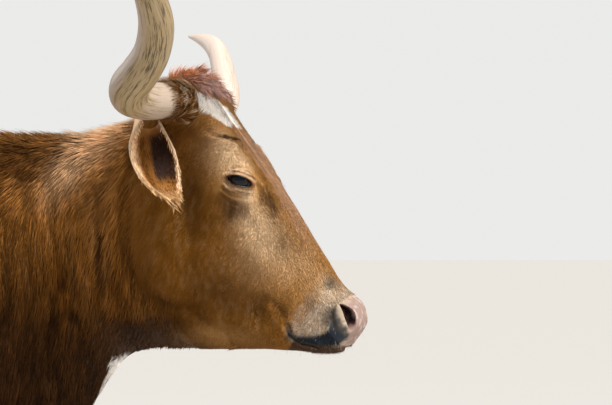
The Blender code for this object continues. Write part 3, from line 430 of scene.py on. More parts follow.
def ripple(points, size, seed):
    """Soft random hills over space, from -1 to 1. Size may differ along the three ways."""
    at = points / np.broadcast_to(size, 3) + seed * 17.31
    cell = np.floor(at).astype(np.int64)
    t = at - cell
    t = t * t * (3 - 2 * t)
    total = np.zeros(len(points))
    for corner in range(8):
        step = np.array((corner & 1, corner >> 1 & 1, corner >> 2 & 1))
        key = (cell + step) @ np.array((73856093, 19349663, 83492791)) + seed * 2654435761
        key = (key ^ (key >> 13)) * 1274126177
        key = (key ^ (key >> 16)) & 0xFFFF
        share = np.prod(np.where(step, t, 1 - t), axis=1)
        total += share * (key / 32767.5 - 1.0)
    return total


def near_piece(points, a, b):
    """How far each point lies from a straight piece of line."""
    run = b - a
    t = np.clip((points - a) @ run / (run @ run), 0.0, 1.0)
    return np.linalg.norm(points - (a + t[:, None] * run), axis=1)


def near_line(points, line):
    """How far each point lies from a broken line."""
    line = np.array(line, float)
    return np.min([near_piece(points, a, b) for a, b in zip(line[:-1], line[1:])], axis=0)


def folded(points):
    """The places with every one moved to the same side."""
    one_side = points.copy()
    one_side[:, 1] = np.abs(one_side[:, 1])
    return one_side


def on_face(route):
    """A route given in the face's frame, as places."""
    return np.array([face(*place) for place in route])


def circle(count):
    """Even steps round a full turn."""
    return np.arange(count) * 2 * math.pi / count


def ring(middle, along, across, length, width):
    """Points round a place, each some length along and some width across."""
    return middle + np.outer(length, along) + np.outer(width, across)


def outlines(rows, count):
    """Cross-sections (across, up) from rows of top, bottom, half width, level and squareness."""
    top, bottom, width, level, upper, lower = rows.T[:, :, None]
    side = np.sin(circle(count))[None, :]
    lift = np.cos(circle(count))[None, :]
    power = np.where(lift >= 0, 2 / upper, 2 / lower)
    reach = np.where(lift >= 0, top - level, level - bottom)
    across = width * np.sign(side) * np.abs(side) ** power
    up = level + reach * np.sign(lift) * np.abs(lift) ** power
    return across, up


def closed_form(rings):
    """Points and triangles of a closed surface through a row of rings."""
    rings = np.asarray(rings)
    rows, count, _ = rings.shape
    j = np.arange(count)
    k = (j + 1) % count
    start = np.arange(rows - 1)[:, None] * count
    a = (start + j).ravel()
    b = (start + k).ravel()
    ends = rows * count
    faces = np.concatenate([
        np.column_stack([a, b, b + count]),
        np.column_stack([a, b + count, a + count]),
        np.column_stack([np.full(count, ends), k, j]),
        np.column_stack([np.full(count, ends + 1), ends - count + j, ends - count + k]),
    ])
    middles = np.stack([rings[0].mean(axis=0), rings[-1].mean(axis=0)])
    return np.concatenate([rings.reshape(-1, 3), middles]), faces


def tube_rings(route, count):
    """Rings of points round a route that carries a radius."""
    ahead = unit(np.gradient(route[:, :3], axis=0))
    side = np.cross(ahead[0], (0.0, 0.0, 1.0))
    if np.linalg.norm(side) < 0.1:
        side = np.cross(ahead[0], (0.0, 1.0, 0.0))
    turn = circle(count)
    rings = []
    for place, run, radius in zip(route[:, :3], ahead, route[:, 3]):
        side = unit(side - run * (side @ run))
        other = np.cross(run, side)
        rings.append(place + radius * (np.outer(np.cos(turn), side) + np.outer(np.sin(turn), other)))
    return np.array(rings)


def put(name, data, place=(0.0, 0.0, 0.0), turn=(0.0, 0.0, 0.0)):
    """Puts something in the scene."""
    obj = bpy.data.objects.new(name, data)
    obj.location = place
    obj.rotation_euler = turn
    bpy.context.scene.collection.objects.link(obj)
    return obj


def add_mesh(name, points, faces):
    """Puts a mesh in the scene, with faces that are all of one size."""
    mesh = bpy.data.meshes.new(name)
    mesh.vertices.add(len(points))
    mesh.vertices.foreach_set("co", np.asarray(points, np.float32).ravel())
    mesh.loops.add(faces.size)
    mesh.loops.foreach_set("vertex_index", faces.ravel().astype(np.int32))
    mesh.polygons.add(len(faces))
    mesh.polygons.foreach_set("loop_start", np.arange(0, faces.size, faces.shape[1], dtype=np.int32))
    mesh.update(calc_edges=True)
    return put(name, mesh)


def reworked(obj, change):
    """Changes an object's mesh with bmesh."""
    form = bmesh.new()
    form.from_mesh(obj.data)
    change(form)
    form.to_mesh(obj.data)
    form.free()
    obj.data.update()
    return obj


def outward_faces(obj):
    """Turns every face of a small closed piece outward."""
    return reworked(obj, lambda form: bmesh.ops.recalc_face_normals(form, faces=form.faces))


def settle(obj):
    """Applies an object's modifiers."""
    depsgraph = bpy.context.evaluated_depsgraph_get()
    shape = bpy.data.meshes.new_from_object(obj.evaluated_get(depsgraph))
    obj.modifiers.clear()
    obj.data = shape


def places(obj, what="co"):
    """An object's points as an array."""
    values = np.empty(len(obj.data.vertices) * 3, np.float32)
    obj.data.vertices.foreach_get(what, values)
    return values.reshape(-1, 3).astype(float)


def outward(obj):
    """An object's point normals as an array."""
    return places(obj, "normal")


def move_to(obj, points):
    """Moves an object's points."""
    obj.data.vertices.foreach_set("co", np.asarray(points, np.float32).ravel())
    obj.data.update()


def lifted(obj, height):
    """Moves an object's points out of its surface."""
    move_to(obj, places(obj) + outward(obj) * height[:, None])


def triangles_of(obj):
    """An object's faces as triangles."""
    obj.data.calc_loop_triangles()
    values = np.empty(len(obj.data.loop_triangles) * 3, np.int32)
    obj.data.loop_triangles.foreach_get("vertices", values)
    return values.reshape(-1, 3)


def edges_of(obj):
    """The two ends of each of an object's edges."""
    ends = np.empty(len(obj.data.edges) * 2, np.int32)
    obj.data.edges.foreach_get("vertices", ends)
    return ends.reshape(-1, 2).T


def neighbours(obj):
    """How many points join each of an object's, and a way to sum a value over them."""
    a, b = edges_of(obj)
    count = len(obj.data.vertices)
    share = np.maximum(np.bincount(np.concatenate([a, b]), minlength=count), 1)
    return share, lambda line: np.bincount(a, line[b], count) + np.bincount(b, line[a], count)


def relaxed(obj, weight, rounds):
    """Evens a surface out, most where the weight is high."""
    share, total = neighbours(obj)
    points = places(obj)
    for _ in range(rounds):
        for line in points.T:
            line[:] = line + 0.5 * weight * (total(line) / share - line)
    move_to(obj, points)


def evened(obj, values, rounds):
    """Directions at an object's points, each averaged with those round it."""
    share, total = neighbours(obj)
    for _ in range(rounds):
        for line in values.T:
            line[:] = 0.4 * line + 0.6 * total(line) / share
    return unit(values)


def divided(obj, chosen):
    """Makes the surface twice as fine where its points are chosen."""
    def change(form):
        edges = [e for e in form.edges if chosen[e.verts[0].index] and chosen[e.verts[1].index]]
        bmesh.ops.subdivide_edges(form, edges=edges, cuts=1, use_grid_fill=True)
    reworked(obj, change)


def keep_largest(obj):
    """Keeps only an object's largest closed surface."""
    a, b = edges_of(obj)
    label = np.arange(len(obj.data.vertices))
    while True:
        low = np.minimum(label[a], label[b])
        fresh = label.copy()
        np.minimum.at(fresh, a, low)
        np.minimum.at(fresh, b, low)
        fresh = fresh[fresh]
        if (fresh == label).all():
            break
        label = fresh
    scraps = label != np.bincount(label).argmax()
    if scraps.any():
        reworked(obj, lambda form: bmesh.ops.delete(
            form, geom=[vert for vert in form.verts if scraps[vert.index]], context="VERTS"))


def cut_away(obj, points, faces):
    """Takes a closed form out of an object."""
    tool = outward_faces(add_mesh("cutter", points, faces))
    cut = obj.modifiers.new("cut", "BOOLEAN")
    cut.operation = "DIFFERENCE"
    cut.solver = "MANIFOLD"
    cut.object = tool
    settle(obj)
    bpy.data.objects.remove(tool, do_unlink=True)


def raised(obj, forms):
    """Raises or hollows the surface softly round each place, on both sides."""
    one_side = folded(places(obj))
    lift = np.zeros(len(one_side))
    for *place, reach, height in forms:
        far = np.linalg.norm(one_side - np.array(place), axis=1) / reach
        lift += height * np.exp(-0.5 * (far * 1.6) ** 2)
    lifted(obj, lift)


def creased(obj, folds):
    """Lays folds and creases along their routes, on both sides."""
    one_side = folded(places(obj))
    lift = np.zeros(len(one_side))
    for reach, height, route in folds:
        route = smooth_route(route, 12)
        where = np.flatnonzero(np.abs(one_side - route.mean(axis=0)).max(axis=1) < 0.20)
        lift[where] += height * bell(near_line(one_side[where], route) / reach)
    lifted(obj, lift)


def lengthwise_form(stations, count):
    """A closed form from rear to front through upright sections."""
    along = np.linspace(stations[0][0], stations[-1][0], count)
    across, up = outlines(smooth_through(stations, along), 96)
    return closed_form(np.stack([np.broadcast_to(along[:, None], across.shape), across, up], axis=-1))


def head_form():
    """The head as one closed form down the line of the face."""
    along = np.linspace(FACE[0][0], FACE[-1][0], 110)
    across, out = outlines(smooth_through(FACE, along), 96)
    x = POLL[0] + along[:, None] * FACE_COS + out * FACE_SIN
    z = POLL[2] - along[:, None] * FACE_SIN + out * FACE_COS
    return closed_form(np.stack([x, across, z], axis=-1))


def leg_form(name):
    """A leg from inside the trunk down to the foot."""
    stations = (FORELEG if name.startswith("fore") else HINDLEG)[::-1]
    heights = np.linspace(stations[0][0], stations[-1][0], 90)
    x, y, length, width = smooth_through(stations, heights).T[:, :, None]
    turn = circle(40)[None, :]
    lean = LEG_STEP[name] * np.maximum(0.0, 1.0 - heights / LEG_PIVOT)
    forward = x + lean[:, None] + length * np.cos(turn)
    sideways = side_of(name) * y + width * np.sin(turn)
    level = np.broadcast_to(heights[:, None], forward.shape)
    return closed_form(np.stack([forward, sideways, level], axis=-1))


def side_of(name):
    """Which side a paired piece is on, as a sign across."""
    return SIDES[name.split("_")[1]]


def horn_route(name, count):
    """A horn's route on the straight animal, with its radius."""
    return smooth_route(HORNS[name] * (1, side_of(name), 1, 1) + (POLL[0], 0, HORN_LEVEL, 0), count)


def udder_forms():
    """The udder and its four teats."""
    rings = []
    for height in np.linspace(-0.98, 0.98, 18):
        share = math.sqrt(1 - height * height)
        rings.append(np.stack([
            UDDER_PLACE[0] + UDDER_SIZE[0] * share * np.cos(circle(32)),
            UDDER_SIZE[1] * share * np.sin(circle(32)),
            np.full(32, UDDER_PLACE[2] + UDDER_SIZE[2] * height),
        ], axis=-1))
    forms = [closed_form(rings)]
    for ahead in (-TEAT_SPREAD[0], TEAT_SPREAD[0]):
        for across in (-TEAT_SPREAD[1], TEAT_SPREAD[1]):
            route = [
                (UDDER_PLACE[0] + ahead, across * spread, UDDER_PLACE[2] - drop, radius)
                for spread, drop, radius in (
                    (1.0, 0.030, 0.0150), (1.04, 0.070, 0.0130), (1.06, 0.100, 0.0115), (1.06, 0.112, 0.0070),
                )
            ]
            forms.append(closed_form(tube_rings(smooth_route(route, 14), 20)))
    return forms


def horn_base_form(name):
    """The haired skin that climbs a short way up the horn."""
    route = horn_route(name, 60)
    grown = route[np.abs(route[:, 1]) < HORN_SKIN_END[name]].copy()
    grown[:, 3] += 0.0042
    grown[-2:, 3] -= (0.001, 0.003)
    return closed_form(tube_rings(grown, 40))


def skin_forms():
    """All the closed forms that fuse into the hide."""
    forms = [lengthwise_form(TRUNK, 150), lengthwise_form(THROAT, 50), head_form()]
    forms += [leg_form(name) for name in LEG_STEP]
    forms.append(closed_form(tube_rings(smooth_route(TAIL, 40), 32)))
    return forms + udder_forms() + [horn_base_form(name) for name in HORNS]


def evening(points):
    """How strongly the fused surface is evened out: most where limbs and head join."""
    x, y, z = points.T
    weight = np.full(len(points), 0.45)
    weight = np.where(z < 0.52, 0.18, weight)
    weight = np.where((z > 0.52) & (z < 0.84), 0.85, weight)
    _, out, across = face_frame(points)
    face_side = (x > 0.93) & (out > -0.13)
    weight = np.where(face_side, 0.12, weight)
    weight = np.where((x > 0.80) & (x < 0.955) & ~face_side, 0.8, weight)
    teats = (np.abs(x - UDDER_PLACE[0]) < 0.11) & (np.abs(y) < 0.07) & (z < 0.625)
    weight = np.where(teats | (x < -0.855), 0.15, weight)
    return np.where((across > 0.085) & (z > 1.25) & (x > 0.9), 0.10, weight)


def coat_depth(points):
    """How far the hide lies inside the animal's outline."""
    down, out, _ = face_frame(points)
    on_head = rise(points[:, 0], 0.84, 0.93) * rise(out, -0.26, -0.16)
    depth = mix(0.0052, 0.0022, on_head)
    depth = depth * (1 - 0.6 * fall(points[:, 2], 0.15, 0.60))
    return depth * (1 - 0.85 * rise(down, 0.38, 0.43) * on_head)


def eye_axes(side):
    """The eye's middle, the line between its corners, the way across it, and the way out."""
    middle = beside(EYE_PLACE, side)
    corner = face(EYE_SLANT[0], EYE_SLANT[1], 0.0) - face(0.0, 0.0, 0.0)
    out = unit(np.array((0.22, side * 0.97, 0.08)))
    along = unit(corner - out * (corner @ out))
    return middle, along, np.cross(along, out) * side, out


def eye_frame(points, side):
    """Places seen from one eye: along it, across it (upward) and out of it."""
    middle, *axes = eye_axes(side)
    return [(points - middle) @ axis for axis in axes]


def lid_reach(points, side):
    """How many times as far out as the lids' rim each place lies, and its place over the eye."""
    a, b, c = eye_frame(points, side)
    b = b + EYE_DROP
    return np.hypot(a / (EYE_OPENING[0] / 2), b / (EYE_OPENING[1] / 2)), a, b, c


def raise_lids(skin, side):
    """Draws the hide over an eyeball as two lids."""
    points = places(skin)
    a, b, c = eye_frame(points, side)
    far = np.sqrt((a / 1.15) ** 2 + b ** 2)
    dome = EYE_RADIUS + 0.0042
    lid = np.sqrt(np.maximum(dome ** 2 - far ** 2, 0.0))
    move = np.where((c > -0.01) & (far < dome), (np.maximum(c, lid) - c) * rise(dome - far, 0.0, 0.0075), 0.0)
    move_to(skin, points + move[:, None] * eye_axes(side)[3])


def almond(share, count):
    """The rim of the opening between the lids, along and across the eye."""
    turn = circle(count)
    length = EYE_OPENING[0] / 2 * np.sign(np.cos(turn)) * np.abs(np.cos(turn)) ** 0.85
    width = EYE_OPENING[1] / 2 * np.sign(np.sin(turn)) * np.abs(np.sin(turn)) ** 1.25
    return share * length, share * width - EYE_DROP


def eye_ball(side, radius, angles, count):
    """A round form about the eye's middle."""
    middle, along, across, out = eye_axes(side)
    turn = circle(count)
    rings = []
    for angle in angles:
        spread = radius * math.sin(angle)
        place = middle + out * radius * math.cos(angle)
        rings.append(ring(place, along, across, spread * np.cos(turn), spread * np.sin(turn)))
    return closed_form(rings)


def open_eye(skin, side):
    """Cuts the socket and the almond opening."""
    cut_away(skin, *eye_ball(side, EYE_RADIUS + 0.0004, np.linspace(0.02, math.pi - 0.02, 24), 40))
    middle, along, across, out = eye_axes(side)
    slot = [
        ring(middle + out * depth, along, across, *almond(share, 56))
        for depth, share in ((0.003, 0.98), (0.018, 1.0), (EYE_RADIUS + 0.014, 1.10))
    ]
    cut_away(skin, *closed_form(slot))


def open_nostril(skin, side):
    """Cuts a comma-shaped pit that runs back and inward into the muzzle."""
    place = beside(NOSTRIL, side)
    inward = unit(np.array((-0.55, -side * 0.80, 0.05)))
    across = unit(np.cross(inward, face(1.0, -0.08, 0.0) - face(0.0, 0.0, 0.0)))
    down = np.cross(across, inward)
    turn = circle(40)
    curl = -side * NOSTRIL_SIZE[1] * 0.7 * np.cos(turn) ** 2
    narrow = 1.0 - 0.45 * np.maximum(-np.cos(turn), 0.0)
    pit = [
        ring(place + inward * depth, down, across, share * NOSTRIL_SIZE[0] * np.cos(turn),
             share * (NOSTRIL_SIZE[1] * narrow * np.sin(turn) + curl))
        for depth, share in ((-0.018, 1.30), (-0.002, 1.0), (0.010, 0.74), (0.022, 0.45), (0.030, 0.2))
    ]
    cut_away(skin, *closed_form(pit))


def part_lips(skin):
    """Cuts the line of the mouth, from one corner round the front to the other."""
    half = smooth_route(on_face(MOUTH), 24)
    line = np.concatenate([half * (1, -1, 1), half[-2::-1]])
    tree = tree_of(places(skin), triangles_of(skin))
    route = []
    for i, place in enumerate(line):
        from_corner = min(i, len(line) - 1 - i)
        radius = 0.0026 * (0.4 + 0.6 * min(1.0, from_corner / 6))
        route.append((*tree.find_nearest(Vector(place))[0], radius))
    cut_away(skin, *closed_form(tube_rings(np.array(route), 10)))


def near_mouth(points):
    """How far each place lies from the line of the mouth."""
    return near_line(folded(points), smooth_route(on_face(MOUTH), 16))


def near_nostril(points):
    """How far each place lies from a nostril's middle."""
    return np.linalg.norm(folded(points) - face(*NOSTRIL), axis=1)


def swell_lips(skin):
    """Fills the lips out on both sides of their parting."""
    points = places(skin)
    far = near_mouth(points)
    lips = bell((far - 0.009) / 0.006) - 0.8 * bell(far / 0.005)
    lifted(skin, 0.0028 * lips + 0.0018 * bell((near_nostril(points) - 0.021) / 0.006))


def make_hide():
    """One closed hide over trunk, neck, head, legs, tail and udder."""
    forms = skin_forms()
    starts = np.cumsum([0] + [len(points) for points, _ in forms])
    faces = np.concatenate([faces + start for (_, faces), start in zip(forms, starts)])
    skin = add_mesh("hide", np.concatenate([points for points, _ in forms]), faces)
    fuse = skin.modifiers.new("fuse", "REMESH")
    fuse.mode = "VOXEL"
    fuse.voxel_size = HIDE_GRAIN
    settle(skin)
    keep_largest(skin)
    relaxed(skin, evening(places(skin)), 24)
    raised(skin, BODY_FORMS)
    creased(skin, NECK_FOLDS)
    points = places(skin)
    divided(skin, (points[:, 0] > 0.89) & (face_frame(points)[1] > -0.30))
    points = places(skin)
    relaxed(skin, np.where(points[:, 0] > 0.88, 0.5, 0.0), 4)
    brow = (face_frame(places(skin))[0] < 0.13) & (points[:, 0] > 0.90)
    relaxed(skin, np.where(brow, 0.5, 0.0), 12)
    raised(skin, [(*face(*row[:3]), *row[3:]) for row in HEAD_FORMS])
    points = places(skin)
    down, out, _ = face_frame(points)
    eyes = np.linalg.norm(folded(points) - face(0.185, -0.020, 0.085), axis=1) < 0.065
    divided(skin, eyes | ((down > 0.385) & (out > -0.125)))
    points = places(skin)
    relaxed(skin, np.where((points[:, 0] > 0.90) & (face_frame(points)[1] > -0.20), 0.5, 0.0), 4)
    creased(skin, [(reach, height, on_face(route)) for reach, height, route in FOLDS])
    swell_lips(skin)
    for side in SIDES.values():
        raise_lids(skin, side)
    lifted(skin, -coat_depth(places(skin)))
    for side in SIDES.values():
        open_eye(skin, side)
        open_nostril(skin, side)
    part_lips(skin)
    keep_largest(skin)
    return skin


def lay(paint, colour, mask):
    """Lays a colour over the paint where the mask is."""
    return mix(paint, np.asarray(colour), np.clip(mask, 0.0, 1.0)[:, None])


def within(spots, corners, soft):
    """How far each flat place lies inside an outline, from 0 to 1 over a soft edge."""
    inside = np.zeros(len(spots), bool)
    for a, b in zip(corners, np.roll(corners, -1, axis=0)):
        if a[1] != b[1]:
            at = a[0] + (spots[:, 1] - a[1]) * (b - a)[0] / (b - a)[1]
            inside ^= ((a[1] > spots[:, 1]) != (b[1] > spots[:, 1])) & (spots[:, 0] < at)
    far = near_line(spots, [*corners, corners[0]])
    return rise(np.where(inside, far, -far), -soft, soft)


class Paint:
    """The colours at places on the straight animal, laid one over another."""

    def __init__(self, points):
        self.points = points
        self.one_side = folded(points)
        self.down, self.out, self.across = face_frame(points)
        self.colours = np.broadcast_to(CHESTNUT, (len(points), 3)).copy()
        self.on_head = rise(points[:, 0], 0.83, 0.94) * rise(self.out, -0.25, -0.17)
        self.ragged = self.grain(0.010, 7) * 0.005 + self.grain(0.004, 8) * 0.0022

    def lay(self, colour, mask):
        self.colours = lay(self.colours, colour, mask)

    def grain(self, size, seed):
        return ripple(self.points, size, seed)

    def blot(self, place, reach):
        """A soft round spot on both sides of the head, in the face's frame."""
        return bell(np.linalg.norm((self.one_side - face(*place)) / reach, axis=1))

    def stripe(self, route, width, soft):
        """A soft-edged stripe along a route in the face's frame, on both sides."""
        return fall(near_line(self.one_side, on_face(route)), width - soft, width + soft)

    def blots(self, colour, *rows):
        """Soft spots from rows of place, reach and strength in thousandths."""
        for *place, reach, share in table(5, *rows):
            self.lay(colour, share * self.blot(place, reach))


def markings(points):
    """The colours of hide and coat at places on the straight animal, with painted light and shade laid in
    among their own markings.
    """
    paint = Paint(points)
    body_markings(paint)
    face_markings(paint)
    muzzle_markings(paint)
    eye_markings(paint)
    under_markings(paint)
    return paint.colours


def body_markings(paint):
    """Chestnut with fine streaks, a dark saddle and neck, white belly, dewlap and socks; paler along the top
    and darker down the neck partly as painted light and shade, with a painted highlight on the crest and
    painted shade in the neck's creases.
    """
    points, lay = paint.points, paint.lay
    x, y, z = points.T
    leaning = points + np.outer(z, (0.16, 0.0, 0.0))
    streaks = ripple(leaning, (0.006, 0.010, 0.075), 1) * 0.7 + ripple(leaning, (0.018, 0.03, 0.16), 2) * 0.6
    # Pale streaks at random, and paler towards the top of back and neck: partly the coat's own paler top
    # line, partly painted light from above.
    lay(CHESTNUT_PALE, np.clip(streaks, 0, 1) * 0.55 + 0.38 * rise(z, 1.13, 1.27))
    lay(CHESTNUT_DARK, np.clip(-streaks, 0, 1) * 0.85 + 0.20 * paint.grain(0.16, 3))
    on_neck = rise(x, 0.45, 0.66) * (1 - paint.on_head)
    lay(CHESTNUT_DARK, 0.80 * bell((x - 0.68) / np.where(x < 0.68, 0.20, 0.085), (z - 1.215) / 0.040))
    flat = points * (1, 0, 1)
    # A painted highlight along the crest of the neck behind the poll.
    crest = bell(near_line(flat, table(3, 850, 0, 1275, 828, 0, 1262, 775, 0, 1222, 718, 0, 1172)) / 0.027)
    lay(SAND * (1.10, 0.98, 0.90), 0.84 * crest * (1 - paint.on_head) * rise(x, 0.70, 0.79))
    # Darker towards the bottom of the neck: partly its own darker colour, partly painted shade under the
    # neck.
    lay(CHESTNUT_DARK, on_neck * fall(z + 0.35 * (x - 0.74), 0.94, 1.16) * 0.85)
    lay(UMBER, on_neck * fall(z + 0.35 * (x - 0.74), 0.90, 1.05) * 0.93)
    lay(CHESTNUT_DARK, fall(z, 0.30, 0.62) * 0.35)
    # Painted shade along two upright creases of the neck's hide.
    slit = rise(near_line(flat, table(3, 829, 0, 1115, 824, 0, 1070, 826, 0, 1030)), 0.0015, 0.006)
    gap = rise(near_line(flat, table(3, 738, 0, 975, 735, 0, 940, 733, 0, 895)), 0.003, 0.010)
    lay(UMBER * 0.8, 0.70 * np.maximum(1 - slit, 1 - gap))
    ragged = paint.grain(0.05, 4) * 0.03 + paint.grain(0.014, 5) * 0.012
    under = fall(z + ragged * 1.4 + 0.10 * np.abs(y), 0.635, 0.655)
    on_leg = rise(np.abs(y), 0.06, 0.08) * rise(x, 0.26, 0.30)
    lay(WHITE, under * rise(x, -0.36, -0.30) * fall(x, 0.62, 0.70) * (1 - on_leg) * (z > 0.56))
    dewlap = near_line(points, table(3, 720, 0, 705, 780, 0, 798, 820, 0, 862))
    lay(WHITE, 0.9 * fall(dewlap + ragged * 0.9, 0.012, 0.024))
    lay(WHITE * 0.92, fall(z + ragged * 1.2 + 0.03 * np.sign(x), 0.16, 0.185))


def face_markings(paint):
    """The markings of the head over the neck's colour, with painted highlights on brow and cheek and painted
    shade in its hollows and creases.
    """
    down, out, across, lay, ragged = paint.down, paint.out, paint.across, paint.lay, paint.ragged
    on_head = paint.on_head
    under = paint.colours
    paint.colours = np.broadcast_to(CHESTNUT * (1.34, 1.36, 0.90), under.shape).copy()
    # Paler towards the front of the face and darker towards the jaw: partly the coat's own colour, partly
    # painted light and shade.
    lay(FAWN * (1.08, 1.0, 0.85), 0.60 * rise(out, -0.10, -0.02))
    lay(CHESTNUT_DARK, 0.35 * fall(out, -0.20, -0.06))
    paint.colours = mix(under, paint.colours, on_head[:, None])
    # Painted highlights where the light falls on brow, cheek and face, over partly paler hair.
    paint.blots(
        SAND,
        134, -6, 90, 34, 850, 213, -19, 84, 11, 850, 160, -4, 92, 26, 600, 258, -30, 73, 32, 850,
        292, -36, 66, 30, 600, 230, -34, 82, 22, 600, 335, -12, 44, 36, 250, 310, -60, 64, 50, 220,
        392, 4, 34, 22, 550,
    )
    # Dark spots at the temple, under the horn, below and before the eye, on the lower cheek and at the
    # mouth's corner: partly the coat's own darker colour, partly painted shade in hollows and creases.
    paint.blots(
        CHESTNUT_DARK,
        155, -90, 90, 36, 700, 110, -62, 92, 30, 550, 200, -110, 88, 34, 500, 213, -47, 92, 13, 880,
        225, -36, 85, 12, 800, 221, -54, 88, 16, 850, 198, -54, 95, 12, 600, 222, 0, 64, 7, 750,
        233, -1, 60, 8, 750, 227, 6, 50, 8, 750, 241, 2, 54, 10, 700, 254, -6, 58, 14, 350,
        60, -50, 92, 28, 700, 320, -130, 64, 50, 450, 367, -108, 58, 20, 750, 391, -77, 58, 14, 650,
        300, -18, 58, 20, 350,
    )
    fine = paint.grain((0.005, 0.005, 0.014), 6)
    broad = paint.grain(0.024, 11)
    lay(CHESTNUT_DARK, on_head * 0.26 * np.clip(-fine - 0.3 * broad, 0, 1))
    lay(SAND, on_head * 0.10 * np.clip(fine + 0.3 * broad, 0, 1))
    # Painted shade along the folds' creases, then pale lines along their ridges, partly painted highlight.
    for width, share, route in CREASE_SHADE_LINES:
        lay(UMBER, share * paint.stripe(route, width, width))
    for width, share, route in PALE_LINES:
        lay(CREAM * (1.15, 1.05, 0.95), 0.75 * share * paint.stripe(route, width, 0.0028))
    # Painted shade in the wrinkle over the brow.
    wrinkle = near_line(np.column_stack([down, 0 * out, across]), BROW_WRINKLE) + ragged * 0.3
    lay(UMBER * 1.4, 0.85 * fall(wrinkle, 0.0012, 0.0040) * (out > -0.05))
    near_middle = across * np.where(paint.points[:, 1] > 0, 0.55, 1.0) + ragged * 1.4
    middle = fall(near_middle, 0.026, 0.036) * rise(down, 0.085, 0.105)
    lay(CREAM * (0.80, 0.66, 0.66), 0.55 * (middle * fall(down, 0.24, 0.36) * (out > -0.03)))
    edge = fall(np.abs(np.hypot((down - 0.050) / 1.4, across) - 0.034 + ragged), 0.003, 0.008)
    lay(CHESTNUT_PALE, 0.6 * edge * (out > -0.03) * rise(down, -0.02, 0.0))
    lay(WHITE, blaze_mask(paint))
    at_horn = horn_skin(paint.points)
    shaggy = paint.grain((0.03, 0.005, 0.005), 14)
    lay(CHESTNUT * 0.8, 0.8 * at_horn)
    lay(CREAM, at_horn * rise(shaggy, 0.05, 0.5) * 0.65)
    lay(CHESTNUT_DARK, at_horn * rise(-shaggy, 0.1, 0.6) * 0.8)


def blaze_mask(paint):
    """The white blaze: from the right horn's root slanting to the middle of the brow."""
    down, y, ragged = paint.down, paint.points[:, 1], paint.ragged
    wide = rise(y - np.interp(down, *BLAZE_RIGHT) + ragged, -0.001, 0.004)
    wide = wide * fall(y - np.interp(down, *BLAZE_LEFT) + ragged, -0.002, 0.003)
    tall = rise(down + ragged, 0.024, 0.030) * fall(down + ragged * 1.5, 0.091, 0.098)
    return wide * tall * (paint.out > -0.05)


def muzzle_markings(paint):
    """Roan muzzle, pale nose, dark lips and chin; the chin's dark is partly painted shade, with painted shade
    in the nostrils, under their wings and along the mouth's parting.
    """
    down, out, across, lay, ragged = paint.down, paint.out, paint.across, paint.lay, paint.ragged
    on_head, stripe, blot = paint.on_head, paint.stripe, paint.blot
    flat = np.column_stack([down, out])
    reach = down + 0.30 * np.clip(out + 0.02, -0.06, 0.0)
    muzzle = rise(reach + ragged * 2.5, 0.385, 0.425) * on_head * rise(out, -0.094, -0.080)
    specks = rise(paint.grain(0.0032, 9), 0.10, 0.55)
    lay(ROAN, 0.80 * muzzle)
    lay(CREAM * 1.1, 0.75 * on_head * blot((0.407, 0.002, 0.040), 0.017))
    lay(UMBER * 2.5, 0.30 * muzzle * specks)
    lay(WHITE, 0.30 * muzzle * rise(paint.grain(0.0036, 10), 0.20, 0.60))
    for row in table(
        7,
        391, 10, 28, 10, 18, 13, 800, 404, -30, 54, 11, 20, 16, 500,
        436, -14, 60, 13, 16, 16, 400, 442, -10, 56, 14, 20, 18, 900,
    ):
        lay(SLATE, row[6] * blot(row[:3], row[3:6]))
    lip = stripe(table(3, 415, -78, 60, 432, -79, 61, 448, -73, 60), 0.0050, 0.003)
    lay(LIP, np.maximum(within(flat + ragged[:, None], LIP_PATCH, 0.0046), lip) * on_head)
    # The dark chin: partly its own olive-brown, partly painted shade under the lower lip.
    chin = within(flat, CHIN_PATCH, 0.003) * on_head
    lay(UMBER * 1.6, 0.95 * chin * rise(paint.grain(0.008, 12), -1.4, -0.4))
    lay(CREAM, 0.18 * stripe(table(3, 440, -106, 52, 462, -94, 40, 480, -68, 20, 484, -62, 0), 0.0042, 0.004))
    pad = rise(down + 0.55 * out + ragged, 0.436, 0.448) * rise(out, -0.022, -0.010) * on_head
    pad = pad * fall(across + 0.8 * np.maximum(-0.002 - out, 0), 0.044, 0.052)
    lay(NOSE_PINK, pad)
    lay(NOSE_PINK * (0.80, 0.66, 0.62), 0.7 * blot((0.478, -0.004, 0.018), (0.016, 0.02, 0.030)))
    lay(WHITE * (1.0, 0.92, 0.88), 0.3 * pad * rise(paint.grain(0.0055, 13), 0.1, 0.6))
    # Painted shade inside each nostril's pit.
    inner = face(*NOSTRIL) + np.array((-0.006, -0.010, 0.0))
    origin = face(0, 0, 0)
    pit = near_line(paint.one_side, [inner - face(0.010, 0, 0) + origin, inner + face(0.012, 0, 0) - origin])
    lay(NOSTRIL_SHADE, fall(pit, 0.0105, 0.0135) * on_head)
    lay(CREAM, 0.20 * stripe(table(3, 426, 6, 44, 436, -1, 50, 448, -3, 50), 0.0030, 0.002))
    # Dark grey below each nostril's wing: partly the muzzle's grey skin, partly painted shade under the wing.
    wing_grey_and_shade = stripe(table(3, 434, -4, 55, 446, -8, 59, 456, -12, 60), 0.0060, 0.0050)
    wing_grey_and_shade = np.maximum(wing_grey_and_shade, within(flat, NOSTRIL_WING, 0.0030) * rise(across, 0.038, 0.046))
    lay(SLATE * 0.8, 0.85 * wing_grey_and_shade * (0.75 + 0.25 * specks))
    # Painted shade along the parting of the lips.
    lay(LIP * 0.5, fall(near_mouth(paint.points), 0.0020, 0.0034))


